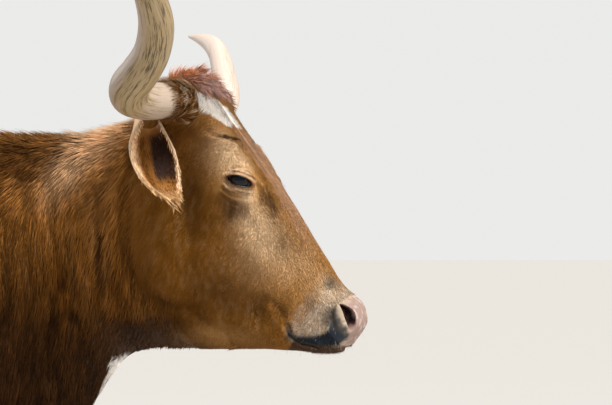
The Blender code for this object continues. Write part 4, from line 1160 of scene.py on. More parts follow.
def eye_markings(paint):
    """Light and dark rings round the eyes, their dark margins and their corners. The dark rings are painted
    shade in the lids' creases, and the light ones partly painted highlight on their folds.
    """
    for side in SIDES.values():
        far, a, b, c = lid_reach(paint.points, side)
        near = (c > 0.0) * fall(np.abs(a), 0.020, 0.026)
        above = rise(b, -0.002, 0.003)
        below = 1 - above
        # Pale bands on the lids' folds, partly paler skin and partly painted highlight; dark bands are
        # painted shade in the creases between them.
        for middle, width, share, colour in (
            (1.46, 0.20, 0.80 * above, CREAM * (1.15, 0.92, 0.80)),
            (1.86, 0.14, 0.85 * above, UMBER),
            (1.36, 0.12, 0.75 * below, UMBER * 2.0),
            (1.66, 0.17, 0.85 * below, CREAM * (1.20, 1.10, 1.00)),
            (1.98, 0.12, 0.80 * below, UMBER * 1.5),
            (2.34, 0.13, 0.60 * below, UMBER * 2.0),
        ):
            paint.lay(colour, share * bell((far - middle) / width) * near)
        paint.lay(UMBER * (2.6, 2.1, 2.0), 0.92 * (fall(far, 1.04, 1.26) * (c > 0.0)))
        corner = bell((np.abs(a) - 0.0225) / 0.0036, b / 0.0042) * (c > 0.0)
        paint.lay(CHESTNUT * (0.95, 0.80, 1.1), 0.90 * corner)


def under_markings(paint):
    """The udder, and the shadowed places under throat and jaw."""
    lay = paint.lay
    x, y, z = paint.points.T
    udder = fall(np.linalg.norm((paint.points - UDDER_PLACE) / UDDER_SIZE, axis=1), 1.0, 1.15)
    teats = (np.abs(x - UDDER_PLACE[0]) < 0.10) & (np.abs(y) < 0.06) & (z < 0.62)
    lay(UDDER_PINK, np.maximum(udder, teats))
    # Painted shade in the hollow behind the jaw and in the throat's recess.
    hollow = np.column_stack([(x - 0.874) / 0.046, 0 * y, (z - 0.936) / 0.034])
    hollow = bell(np.linalg.norm(hollow, axis=1)) * (np.abs(y) < 0.14)
    recess = near_line(paint.one_side, table(3, 896, 80, 985, 902, 60, 950, 904, 20, 905))
    lay(UMBER * 0.6, np.maximum(0.92 * hollow, 0.9 * bell(recess / 0.010)))
    # Painted shade along the crease under the jaw.
    jaw = paint.stripe(table(3, 262, -236, 76, 290, -219, 62, 316, -206, 52, 345, -196, 46), 0.007, 0.007)
    lay(UMBER, 0.65 * jaw)
    lay(FAWN, 0.55 * bell((x - 1.015) / 0.060, (z - 0.932) / 0.018))
    # Painted shade in the recess under the angle of the jaw.
    lay(UMBER, 0.55 * bell((x - 0.925) / 0.030, (z - 0.957) / 0.022))


def bare(points):
    """Where the hide carries no coat: nose, lips, eye rims, teats and soles."""
    down, out, _ = face_frame(points)
    on_head = points[:, 0] > 0.93
    mask = rise(down + 0.55 * out, 0.430, 0.440) * rise(out, -0.030, -0.018) * on_head
    mask = np.maximum(mask, (near_mouth(points) < 0.006) | (near_nostril(points) < 0.024))
    for side in SIDES.values():
        far, _, _, c = lid_reach(points, side)
        mask = np.maximum(mask, (far < 1.30) & (c > -0.01))
    x, y, z = points.T
    return np.maximum(mask, (np.abs(x - UDDER_PLACE[0]) < 0.10) & (np.abs(y) < 0.065) & (z < 0.640))


def hair_length(points):
    """How long the coat is at each place."""
    x, _, z = points.T
    down, out, _ = face_frame(points)
    on_head = rise(x, 0.83, 0.93) * rise(out, -0.27, -0.17)
    length = 0.026 + 0.008 * rise(x, 0.42, 0.62)
    length = length * (1 - 0.55 * fall(z, 0.20, 0.62))
    short = 0.0090 - 0.0030 * rise(down, 0.18, 0.40)
    short = short + 0.008 * fall(down, 0.03, 0.10) + 0.006 * fall(out, -0.22, -0.12)
    near_eye = np.linalg.norm(folded(points) - face(0.190, -0.018, 0.088), axis=1)
    short = short * (0.34 + 0.66 * rise(near_eye, 0.024, 0.060))
    length = mix(length, short, on_head)
    length = length * (1 - 0.70 * (rise(x, 0.72, 0.86) * fall(z, 0.93, 1.02) * (x < 1.02)))
    return np.where(horn_skin(points), 0.024, length) * (1 - 0.25 * fall(z, 0.06, 0.16))


def lie_of_coat(points, normals):
    """Which way the hair lies, as a unit direction along the surface."""
    x, y, z = points.T
    down, out, _ = face_frame(points)
    on_head = rise(x, 0.85, 0.93) * rise(out, -0.27, -0.17)
    side = np.sign(y)
    high = rise(z, 1.08, 1.24)
    droop = np.column_stack([-0.15 - 0.45 * high, 0.0 * y, -1.0 + 0.30 * high])
    on_neck = rise(x, 0.40, 0.60)[:, None]
    lie = mix(np.array((-0.9, 0.0, -0.55)), droop, on_neck)
    lie = mix(lie, np.array((-0.12, 0.0, -1.0)), fall(z, 0.52, 0.78)[:, None])
    lie = np.where((x < -0.835)[:, None], np.array((-0.1, 0.0, -1.0)), lie)
    down_face = face(1.0, 0.0, 0.0) - face(0.0, 0.0, 0.0)
    head_lie = mix(np.array((-0.50, 0.0, -0.86)), down_face, rise(out, -0.060, -0.005)[:, None])
    brow = (fall(down, 0.13, 0.17) * rise(out, -0.09, -0.02))[:, None]
    head_lie = head_lie * (1 - 0.7 * brow) + np.array((-0.9, 0.0, -0.35)) * 0.7 * brow
    head_lie = head_lie + np.column_stack([0 * y, 0.5 * side * rise(out, -0.02, 0.01), 0 * y])
    over_horn = np.outer(side, (0.0, 1.0, 0.0)) + (-0.25, 0.0, -0.15)
    head_lie = np.where(horn_skin(points)[:, None], over_horn, head_lie)
    lie = mix(lie, head_lie, on_head[:, None])
    sway, curl = [
        np.column_stack([ripple(points, size, seed + i) for i in range(3)])
        for size, seed in (((0.05, 0.05, 0.09), 21), ((0.012, 0.012, 0.03), 31))
    ]
    wild = (0.06 + 0.06 * on_neck[:, 0] * (1 - on_head))[:, None]
    lie = unit(lie) + sway * (wild + 0.12) + curl * wild
    return unit(along_surface(lie, normals), 1e-6)


def horn_skin(points):
    """Where the skin climbs the roots of the horns."""
    near = np.full(len(points), np.inf)
    for name in HORNS:
        route = horn_route(name, 40)
        grown = route[np.abs(route[:, 1]) < HORN_SKIN_END[name] + 0.01][:, :3]
        near = np.minimum(near, near_line(points, grown))
    return (near < 0.040) & (np.abs(points[:, 1]) > 0.082)


def unwrapped(points):
    """Where a place on the hide comes in its unwrap: head, body, legs and tail side by side."""
    x, y, z = points.T
    down, out, _ = face_frame(points)
    part_turn = lambda a, b: np.arctan2(a, b) / (2 * math.pi) + 0.5
    along_body = 0.01 + 0.60 * np.clip((x + 0.90) / 1.95, 0, 1)
    place = np.column_stack([along_body, 0.01 + 0.58 * part_turn(y, z - 0.95)])
    on_head = (x > 0.87) & (out > -0.26)
    place[on_head, 0] = (0.64 + 0.35 * np.clip((down + 0.05) / 0.56, 0, 1))[on_head]
    place[on_head, 1] = (0.01 + 0.58 * part_turn(y, out + 0.08))[on_head]
    for i, (name, step) in enumerate(LEG_STEP.items()):
        side = side_of(name)
        middle = 0.43 if name.startswith("fore") else -0.63
        mine = (z < 0.60) & (np.sign(y) == side) & (np.abs(x - middle) < 0.30)
        turn = part_turn(y - side * 0.14, x - middle - step * (1 - z / LEG_PIVOT))
        place[mine, 0] = (0.01 + 0.245 * i + 0.22 * turn)[mine]
        place[mine, 1] = (0.62 + 0.26 * np.clip(z / 0.60, 0, 1))[mine]
    tail = x < -0.845
    place[tail, 0] = (0.01 + 0.97 * np.clip((z - 0.2) / 1.0, 0, 1))[tail]
    place[tail, 1] = (0.90 + 0.09 * part_turn(y, x + 0.87))[tail]
    return place


def scattered(points, faces, normals, spacing):
    """Even random places over a surface, with the soft and the exact way out of it."""
    a, b, c = points[faces].transpose(1, 0, 2)
    area = np.linalg.norm(np.cross(b - a, c - a), axis=1) / 2
    total = np.cumsum(area / spacing((a + b + c) / 3) ** 2)
    count = int(total[-1])
    pick = np.searchsorted(total, np.arange(count) + draw.uniform(size=count))
    pick = np.minimum(pick, len(faces) - 1)
    root = np.sqrt(draw.uniform(size=count))[:, None]
    other = draw.uniform(size=count)[:, None]
    mixed = lambda p, q, r: p * (1 - root) + q * root * (1 - other) + r * root * other
    out = unit(mixed(*normals[faces[pick]].transpose(1, 0, 2)))
    return mixed(a[pick], b[pick], c[pick]), out, unit(np.cross(b - a, c - a)[pick], 1e-12)


def hair_mesh(roots, out, lie, length, width, lift, drop, curl, wave, rows, depth=0.0015):
    """Tapered closed tufts as arrays: points, triangles, and how far along each point is."""
    count = len(roots)
    across = unit(np.cross(out, lie), 1e-9)
    phase = draw.uniform(0, 2 * math.pi, count)
    length, width, lift, drop, curl, wave = (
        np.broadcast_to(values, (count,))[:, None] for values in (length, width, lift, drop, curl, wave)
    )
    each = 3 * rows + 1
    points = np.empty((count, each, 3))
    along = np.ones((count, each))
    for i, t in enumerate(np.linspace(0.0, 1.0, rows + 1)):
        middle = roots - out * depth + lie * length * t
        middle = middle + out * length * (lift * t - drop * t * t)
        sway = curl * t * t + wave * np.sin(phase[:, None] + 7.0 * t) * t
        middle = middle + across * length * sway
        if i == rows:
            points[:, -1] = middle
            break
        share = (1 - 0.55 * t) * (0.75 + 0.5 * min(t * 3, 1.0))
        half = across * width * share * 0.5
        points[:, 3 * i] = middle - half
        points[:, 3 * i + 1] = middle + out * width * share * 0.28
        points[:, 3 * i + 2] = middle + half
        along[:, 3 * i:3 * i + 3] = t
    faces = [(0, 2, 1)]
    for start in range(0, each - 4, 3):
        for j in range(3):
            a = start + j
            b = start + (j + 1) % 3
            faces += [(a, b, b + 3), (a, b + 3, a + 3)]
    faces += [(each - 4 + j, each - 4 + (j + 1) % 3, each - 1) for j in range(3)]
    starts = (np.arange(count) * each)[:, None, None]
    return points, np.array(faces)[None] + starts, along


def add_hair(name, hair, tint, finish, patch):
    """Puts tufts in the scene in pieces of a fair size, each tuft with its own spot to bake."""
    points, faces, along = hair
    per_piece = MOST_TRIANGLES // faces.shape[1]
    each = points.shape[1]
    spread = 0.0015 * np.sqrt((np.arange(each) + 0.5) / each)
    turn = np.arange(each) * 2.399
    spot = np.column_stack([spread * np.cos(turn), spread * np.sin(turn)])
    pieces = []
    for i, start in enumerate(range(0, len(points), per_piece)):
        part = slice(start, start + per_piece)
        triangles = (faces[part] - start * each).reshape(-1, 3)
        obj = add_mesh(f"{name}_{i + 1}", packed(points[part].reshape(-1, 3)), triangles)
        paint(obj, np.repeat(tint[part], each, axis=0))
        keep(obj, "tip", "FLOAT", along[part])
        place = (patch[part][:, None, :] + spot[None]).reshape(-1, 2)
        bake = obj.data.uv_layers.new(name="OFBake")
        bake.data.foreach_set("uv", place[triangles.ravel()].astype(np.float32).ravel())
        pieces.append(dress(obj, finish))
    return pieces


def paint(obj, colours):
    """Keeps a colour at each of an object's points."""
    layer = obj.data.color_attributes.new("tint", "FLOAT_COLOR", "POINT")
    values = np.column_stack([colours, np.ones(len(colours))]).astype(np.float32)
    layer.data.foreach_set("color", values.ravel())


def keep(obj, name, kind, values):
    """Keeps a number or a vector at each of an object's points."""
    layer = obj.data.attributes.new(name, kind, "POINT")
    layer.data.foreach_set("value" if kind == "FLOAT" else "vector", values.astype(np.float32).ravel())


def dress(obj, finish):
    """Gives a piece its finish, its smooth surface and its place."""
    obj.data.materials.clear()
    obj.data.materials.append(finish)
    obj.data.shade_smooth()
    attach(obj, "root")
    return obj


def arithmetic(operation, reflected=False):
    """One of an amount's operators."""
    def operator(self, other):
        return self.sum_of(operation, *((other, self) if reflected else (self, other)))
    return operator


class Amount:
    """A number that varies over a surface and takes plain arithmetic."""

    def __init__(self, finish, socket):
        self.finish = finish
        self.socket = socket

    def sum_of(self, operation, *values):
        return self.finish.add("ShaderNodeMath", {"operation": operation}, dict(enumerate(values)))

    __add__ = arithmetic("ADD")
    __radd__ = arithmetic("ADD", reflected=True)
    __sub__ = arithmetic("SUBTRACT")
    __rsub__ = arithmetic("SUBTRACT", reflected=True)
    __mul__ = arithmetic("MULTIPLY")
    __rmul__ = arithmetic("MULTIPLY", reflected=True)
    __pow__ = arithmetic("POWER")

    def clipped(self):
        return self.sum_of("MINIMUM", self.sum_of("MAXIMUM", self, 0.0), 1.0)


class Finish:
    """A material under construction: one shader and the nodes that feed it."""

    def __init__(self, name, **plain):
        self.material = bpy.data.materials.new(name)
        self.material.use_nodes = True
        self.tree = self.material.node_tree
        self.shader = self.tree.nodes["Principled BSDF"]
        for socket, value in plain.items():
            self.shader.inputs[socket.replace("_", " ")].default_value = value

    def add(self, kind, settings, inputs, output=0):
        """Any node: its type, its settings, the values or links of its sockets, its output."""
        node = self.tree.nodes.new(kind)
        for key, value in settings.items():
            setattr(node, key, value)
        for key, value in inputs.items():
            if isinstance(value, Amount):
                self.tree.links.new(value.socket, node.inputs[key])
            else:
                node.inputs[key].default_value = value
        return Amount(self, node.outputs[output])

    def kept(self, name, output="Fac"):
        """Something kept at the surface's own points."""
        return self.add("ShaderNodeAttribute", {"attribute_name": name}, {}, output)

    def noise(self, where, scale, detail=2.0):
        """Soft random grain from 0 to 1."""
        return self.add("ShaderNodeTexNoise", {}, {"Vector": where, "Scale": scale, "Detail": detail})

    def blend(self, mask, first, second, way="MIX"):
        """One colour over another."""
        return self.add("ShaderNodeMix", {"data_type": "RGBA", "blend_type": way},
                        {0: mask, 6: first, 7: second}, 2)

    def ramp(self, value, *stops):
        """A colour that follows a number."""
        colour = self.add("ShaderNodeValToRGB", {}, {"Fac": value})
        elements = colour.socket.node.color_ramp.elements
        while len(elements) < len(stops):
            elements.new(0.5)
        for element, (place, shade) in zip(elements, stops):
            element.position = place
            element.color = (*shade, 1.0)
        return colour

    def feed(self, **links):
        for socket, value in links.items():
            self.tree.links.new(value.socket, self.shader.inputs[socket.replace("_", " ")])
        return self

    def bump(self, height, strength, distance):
        inputs = {"Height": height, "Strength": strength, "Distance": distance}
        return self.feed(Normal=self.add("ShaderNodeBump", {}, inputs, "Normal"))

    def position(self):
        """The place on the piece itself."""
        return self.add("ShaderNodeTexCoord", {}, {}, "Object")


def hide_finish():
    """The hide under the coat: its markings, pores and fine short fur."""
    finish = Finish("hide", Roughness=0.62, Specular_IOR_Level=0.20)
    where = finish.position()
    pores = finish.noise(where, 900.0)
    wrinkles = finish.noise(where, 240.0, 3.0)
    tone = finish.ramp(pores, (0.25, (0.72, 0.72, 0.72)), (0.75, (1.15, 1.15, 1.15)))
    finish.feed(Base_Color=finish.blend(1.0, finish.kept("tint", "Color"), tone, "MULTIPLY"))
    return finish.bump(pores * 0.6 + wrinkles, 0.35, 0.0012).material


def coat_finish():
    """The hair: darker at its root, partly as painted shade deep in the coat, paler and drier at its tip."""
    finish = Finish("coat", Roughness=0.64, Specular_IOR_Level=0.06)
    # Painted shade darkens each tuft towards its root.
    stops = ((0.0, (0.72, 0.69, 0.66)), (0.45, (1.02, 1.01, 1.00)), (1.0, (1.36, 1.33, 1.26)))
    tone = finish.ramp(finish.kept("tip"), *stops)
    return finish.feed(Base_Color=finish.blend(1.0, finish.kept("tint", "Color"), tone, "MULTIPLY")).material


def horn_finish(name, cream, olive, olive_share):
    """Horn with long streaks in it, polished by use."""
    finish = Finish(name, Roughness=0.42, Specular_IOR_Level=0.40, Coat_Weight=0.10, Coat_Roughness=0.3)
    grain = finish.kept("grain", "Vector")
    stained = finish.kept("stained")
    broad = finish.noise(grain, 1.7, 3.0)
    streak = finish.noise(grain, 6.5, 4.0)
    thread = finish.noise(grain, 24.0)
    mask = ((broad - 0.50) * 2.4 + (streak - 0.5) * 2.6 + stained * 1.5 - 0.35).clipped()
    base = finish.blend(mask * olive_share, (*cream, 1.0), (*olive, 1.0))
    dark = ((thread - 0.51) * 6.0 + (streak - 0.52) * 5.0).clipped() * (stained * 0.85 + 0.10)
    finish.feed(Base_Color=finish.blend(dark * olive_share, base, (0.060, 0.040, 0.018, 1.0)))
    return finish.bump(streak + thread * 0.4, 0.35, 0.0012).material


def eye_finish():
    """A dark brown eye with a wide level pupil under a wet surface."""
    finish = Finish("eye", Roughness=0.15, Specular_IOR_Level=0.20, Coat_Weight=0.22, Coat_Roughness=0.02)
    look = finish.kept("look", "Vector")
    level, upright, _ = [finish.add("ShaderNodeSeparateXYZ", {}, {"Vector": look}, i) for i in range(3)]
    rim = (level * level + upright * upright) ** 0.5
    pupil = ((level * 1.9) ** 2.0 + (upright * 3.4) ** 2.0) ** 0.5
    fibre = finish.noise(look, 22.0, 3.0)
    iris = finish.ramp(fibre, (0.3, (0.006, 0.005, 0.006)), (0.7, (0.016, 0.012, 0.012)))
    white = finish.blend(((rim - 0.66) * 7.0).clipped(), iris, (0.17, 0.070, 0.030, 1.0))
    colour = finish.blend((1 - (pupil - 0.9) * 6.0).clipped(), white, (0.002, 0.003, 0.007, 1.0))
    return finish.feed(Base_Color=colour).material


def claw_finish():
    """Dark horn of the claws, dusty and faintly ringed."""
    finish = Finish("claw", Roughness=0.55)
    where = finish.position()
    rings = finish.add("ShaderNodeTexWave", {"wave_type": "BANDS", "bands_direction": "Z"},
                       {"Vector": where, "Scale": 34.0, "Distortion": 2.5, "Detail": 2.0}, "Fac")
    dust = finish.noise(where, 60.0, 4.0)
    stops = ((0.30, (0.030, 0.024, 0.020)), (0.75, (0.110, 0.088, 0.068)))
    colour = finish.ramp(dust * 0.7 + rings * 0.3, *stops)
    return finish.feed(Base_Color=colour).bump(rings + dust * 0.5, 0.35, 0.0015).material


def rim_finish():
    """The wet dark margin of a lid."""
    finish = Finish("lid_rim", Roughness=0.25, Specular_IOR_Level=0.5)
    dapple = finish.noise(finish.position(), 400.0)
    colour = finish.ramp(dapple, (0.3, (0.012, 0.008, 0.008)), (0.7, (0.030, 0.018, 0.015)))
    return finish.feed(Base_Color=colour).material


def make_eye(side_name, finish):
    """An eyeball with its iris and pupil."""
    side = SIDES[side_name]
    points, faces = eye_ball(side, EYE_RADIUS, np.linspace(0.03, math.pi - 0.03, 40), 64)
    ball = outward_faces(add_mesh("eyeball_" + side_name, points, faces))
    a, b, c = eye_frame(points, side)
    look = np.column_stack([0.90 * a - 0.35 * b, 0.90 * b + 0.35 * a, c]) / EYE_RADIUS
    keep(ball, "look", "FLOAT_VECTOR", look)
    move_to(ball, packed(points))
    dress(ball, finish)
    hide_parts("eye_" + side_name)


def make_lid_rim(side_name, tree, finish):
    """The margin of the lids round the open eye, and its route."""
    middle, along, across, out = eye_axes(SIDES[side_name])
    route = []
    for a, b in zip(*almond(1.03, 72)):
        place = middle + along * a + across * b
        hit = tree.ray_cast(Vector(place + out * 0.05), Vector(-out), 0.06)[0]
        depth = (np.array(hit) - middle) @ out if hit else 0.018
        route.append(place + out * max(depth, 0.016))
    route = np.array(route)
    for _ in range(3):
        route = (np.roll(route, 1, axis=0) + route * 2 + np.roll(route, -1, axis=0)) / 4
    round_ = 10
    turn = circle(round_)[None, :, None]
    radial = unit(route - middle - np.outer((route - middle) @ out, out))
    rings = route[:, None] + 0.00125 * (radial[:, None] * np.cos(turn) + out[None, None] * np.sin(turn))
    here = np.arange(len(route))[:, None] * round_
    ahead = np.roll(here, -1)
    j = np.arange(round_)[None, :]
    k = (j + 1) % round_
    faces = np.stack([here + j, here + k, ahead + k, ahead + j], axis=-1).reshape(-1, 4)
    rim = add_mesh("lid_rim_" + side_name, packed(rings.reshape(-1, 3)), faces)
    dress(outward_faces(rim), finish)
    return route


def make_lashes(side_name, route, finish):
    """Lashes along the upper lid."""
    side = SIDES[side_name]
    middle, along, across, out = eye_axes(side)
    upper = route[eye_frame(route, side)[1] > 0.0]
    roots = upper[draw.integers(0, len(upper), LASHES)] + draw.normal(0, 0.0004, (LASHES, 3))
    a = ((roots - middle) @ along)[:, None]
    run = unit(out * 0.95 + across * draw.uniform(-0.45, 0.05, (LASHES, 1)) + along * a * 28)
    up = np.broadcast_to(across, run.shape)
    length = draw.uniform(0.006, 0.013, LASHES)
    hair = hair_mesh(roots, up, run, length, 0.0004, -0.15, -0.25, 0.0, 0.02, 4, 0.0)
    tint = UMBER * 1.4 * draw.uniform(0.7, 1.6, (LASHES, 1))
    add_hair("lashes_" + side_name, hair, tint, finish, unwrapped(roots))


def make_horn(name, finish):
    """A horn with long grain and faint growth rings near its base."""
    route = horn_route(name, 170)
    distance = distance_along(route)
    near_base = bell((distance - 0.10) / 0.05)
    route[:, 3] *= 1 + 0.010 * near_base * np.sin(distance * 2 * math.pi / 0.010)
    points, faces = closed_form(tube_rings(route, 72))
    horn = outward_faces(add_mesh(name + "_grown", points, faces))
    turn = np.concatenate([np.tile(circle(72), len(route)), [0.0, 0.0]])
    run = np.concatenate([np.repeat(distance, 72), [0.0, distance[-1]]])
    keep(horn, "grain", "FLOAT_VECTOR", np.column_stack([np.cos(turn), np.sin(turn), run * 2.2]))
    past_bend = rise(run / distance[-1], 0.16, 0.36) * (1 - 0.5 * rise(run / distance[-1], 0.6, 0.9))
    facing = outward(horn) @ np.array((0.80, 0.35 * side_of(name), -0.20))
    keep(horn, "stained", "FLOAT", past_bend * rise(facing, -0.45, 0.45))
    move_to(horn, packed(points))
    dress(horn, finish)
    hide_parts(name)


def ear_places(t, angle, side, half_width):
    """Places on an ear's leaf, from how far along it and how far round its cup."""
    root = beside(EAR_ROOT, side)
    run = EAR_RUN * np.array((1, side, 1))
    opens = EAR_OPENS * np.array((1, side, 1))
    along = unit(run)
    opens = unit(opens - along * (opens @ along))
    across = np.cross(along, opens)
    wrap = smooth_through(EAR_SHAPE, t)[:, 1]
    middle = root - along * 0.016 + np.outer(t, run + along * 0.016)
    middle = middle - np.outer(0.012 * np.sin(math.pi * t), opens)
    middle = middle + np.outer(half_width * np.sin(angle), across)
    return middle - np.outer(half_width * 0.75 * (np.cos(angle) - np.cos(wrap) * 0.5), opens)


def make_ear(side_name, skin_finish, hair_finish):
    """An ear: a haired leaf rolled into a cup, dark inside with painted shade, with a long soft fringe."""
    side = SIDES[side_name]
    rows, columns = 44, 33
    t = np.repeat(np.linspace(0.0, 1.0, rows), columns)
    shape = smooth_through(EAR_SHAPE, t)
    share = np.tile(np.linspace(-1.0, 1.0, columns), rows)
    a = (np.arange(rows - 1)[:, None] * columns + np.arange(columns - 1)[None, :]).ravel()
    ear = add_mesh("ear_skin_" + side_name, ear_places(t, share * shape[:, 1], side, shape[:, 0]),
                   np.column_stack([a, a + 1, a + columns + 1, a + columns]))
    thick = ear.modifiers.new("thick", "SOLIDIFY")
    thick.thickness = 0.0034
    thick.offset = 0.0
    settle(ear)
    outward_faces(ear)
    points = places(ear)
    normals = outward(ear)
    faces = triangles_of(ear)
    opens = EAR_OPENS * np.array((1, side, 1))
    run = unit(EAR_RUN * np.array((1, side, 1)))
    middle = (np.abs(share) < 0.1) & (t > 0.4) & (t < 0.6)
    t = np.resize(t, len(points))
    share = np.resize(share, len(points))
    first_layer = np.arange(len(points)) < rows * columns
    faces_in = (normals[:rows * columns][middle] @ opens).mean() > 0.0
    inside = first_layer if faces_in else ~first_layer
    paint(ear, ear_tint(t, share, inside, share * side))
    roots, out, _ = scattered(points, faces, normals, lambda at: np.full(len(at), 0.0023))
    tree = tree_of(points, faces)
    index = np.array([faces[tree.find_nearest(Vector(root))[2]][0] for root in roots])
    t, share, inner = t[index], share[index], inside[index]
    hollow = inner & (share * side > 0.0) & (share * side < 0.7) & (t < 0.62)
    kept = (t > 0.04) & ~(hollow & (draw.uniform(size=len(t)) < 0.80))
    roots, out, t, share, inner = roots[kept], out[kept], t[kept], share[kept], inner[kept]
    count = len(roots)
    edge = rise(np.abs(share), 0.60, 0.95)
    across = unit(np.cross(run, opens))
    sweep = np.where(inner, -0.12, 0.06) * edge * np.sign(share) + 0.30 * side * rise(t, 0.55, 0.95)
    lie = run + np.outer(sweep, across) + draw.normal(0, 0.07, (count, 3))
    lie = unit(along_surface(lie, out))
    length = 0.009 + 0.002 * edge + 0.006 * rise(t, 0.66, 1.0) + 0.006 * inner
    length = length * draw.uniform(0.75, 1.2, count)
    lift = 0.10 + 0.14 * inner + draw.uniform(-0.03, 0.06, count)
    hair = hair_mesh(roots, out, lie, length, 0.0015, lift, 0.08, draw.uniform(-0.12, 0.12, count), 0.03, 2)
    colours = ear_tint(t, share, inner, share * side, True)
    colours = colours * (1 + (0.22 + 0.33 * inner) * draw.uniform(-1, 1, count))[:, None]
    patch = np.column_stack([0.01 + 0.48 * t + (0.5 if side > 0 else 0.0),
                             0.905 + 0.04 * (share * 0.5 + 0.5) + 0.045 * inner])
    add_hair("ear_hair_" + side_name, hair, colours, hair_finish, patch)
    move_to(ear, packed(points))
    dress(ear, skin_finish)
    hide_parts("ear_" + side_name)


def ear_tint(t, share, inner, ahead, hair=False):
    """The ear's colours: chestnut behind, pale along its rims, and painted shade in the hollow at its front.
    """
    tint = np.broadcast_to(CHESTNUT * 1.2, (len(t), 3))
    edge = np.where(ahead > 0, rise(ahead, 0.84, 0.96), rise(-ahead, 0.12, 0.40))
    tint = lay(tint, SAND * (1.12, 1.05, 1.00), 0.94 * edge)
    tint = lay(tint, CREAM * 1.3, 0.6 * rise(np.abs(share), 0.80, 1.0) * fall(t, 0.55, 0.8))
    # Painted shade inside the ear's cup, darkest in the hollow at its front, on skin and hair alike.
    tint = lay(tint, CHESTNUT_DARK, 0.45 * inner * fall(np.abs(ahead + 0.02), 0.06, 0.22))
    deep = inner * rise(ahead, 0.08, 0.26) * fall(ahead, 0.88, 0.98)
    deep = deep * rise(t, 0.03, 0.10) * fall(t, 0.46, 0.64)
    tint = lay(tint, EAR_HOLLOW_SHADE, deep * (0.85 if hair else 0.98))
    return lay(tint, FAWN * (1.35, 1.55, 2.1), 0.80 * rise(t, 0.60, 0.82) * (1 - 0.6 * deep))


def tree_of(points, faces):
    """A surface ready for finding its nearest place."""
    return BVHTree.FromPolygons(points.tolist(), faces.tolist())


def coat_region(points):
    """Which of the coat's regions each place belongs to."""
    head = (points[:, 0] > 0.885) & (face_frame(points)[1] > -0.235)
    uneven = ripple(points, (0.020, 0.020, 0.050), 43) * 0.05 + ripple(points, 0.09, 44) * 0.04
    neck = (points[:, 0] + uneven > 0.44) & ~head & (points[:, 2] > 0.60)
    return np.where(head, "head", np.where(neck, "neck", "body"))


def dress_coat(skin, finish):
    """The coat over the whole hide, finest on the head."""
    points = places(skin)
    normals = evened(skin, outward(skin), 24)
    faces = triangles_of(skin)
    for name, step, rows, width, lift, drop, wave, root_depth, depth, loose in (
        ("head", 0.00175, 1, 0.00155, 0.20, 0.0, 0.0, 0.0002, 0.10, 0.17),
        ("neck", 0.0035, 2, 0.0020, 0.24, 0.10, 0.03, 0.0012, 0.45, 0.24),
        ("body", 0.0065, 1, 0.0047, 0.17, 0.0, 0.0, 0.0012, 0.30, 0.22),
    ):
        def spacing(at):
            size = step * (1 - 0.22 * fall(at[:, 2], 0.30, 0.60))
            return np.where((coat_region(at) == name) & (1 - bare(at) > 0.5), size, 1e3)

        roots, out, flat = scattered(points, faces, normals, spacing)
        lie = lie_of_coat(roots, out)
        lie = unit(lie - flat * np.minimum(np.einsum("ij,ij->i", lie, flat), 0.0)[:, None])
        out = unit(out + flat)
        count = len(roots)
        length = hair_length(roots) * draw.uniform(0.75, 1.25, count)
        clump = ripple(roots, (0.007, 0.007, 0.040), 41) * 0.6 + ripple(roots, (0.018, 0.018, 0.09), 42) * 0.5
        length = length * (1 + 0.15 * clump)
        leg = fall(roots[:, 2], 0.25, 0.60)
        thick = width * (1 - 0.45 * leg) * draw.uniform(0.75, 1.25, count)
        lift = lift + (0.03 if name == "head" else 0.06) * clump + draw.uniform(-0.03, 0.05, count)
        lift = lift + 0.40 * rise(roots[:, 2], 1.215, 1.262) * (name == "neck")
        muzzle = rise(face_frame(roots)[0], 0.40, 0.43) * (name == "head")
        lift = lift + 0.10 * (muzzle + 1.2 * horn_skin(roots))
        curl = draw.uniform(-0.14, 0.14, count)
        hair = hair_mesh(roots, out, lie, length, thick, lift, drop, curl, wave, rows, root_depth)
        # Painted shade and light over the clumps: tufts in the gaps between clumps darker, lifted clumps
        # paler, by each region's depth.
        shade = 1 + depth * np.clip(clump * 1.6, -1, 1)
        tint = markings(roots) * shade[:, None] * draw.uniform(1 - loose, 1 + loose, (count, 1))
        add_hair("coat_" + name, hair, tint, finish, unwrapped(roots))


def dropped(tree, place):
    """The hide's surface straight below a place, and the way out of it."""
    hit, normal, _, _ = tree.ray_cast(Vector(place), Vector((0.0, 0.0, -1.0)), 0.4)
    if hit is None or normal.z < 0.10:
        return None, None
    return np.array(hit), np.array(normal)


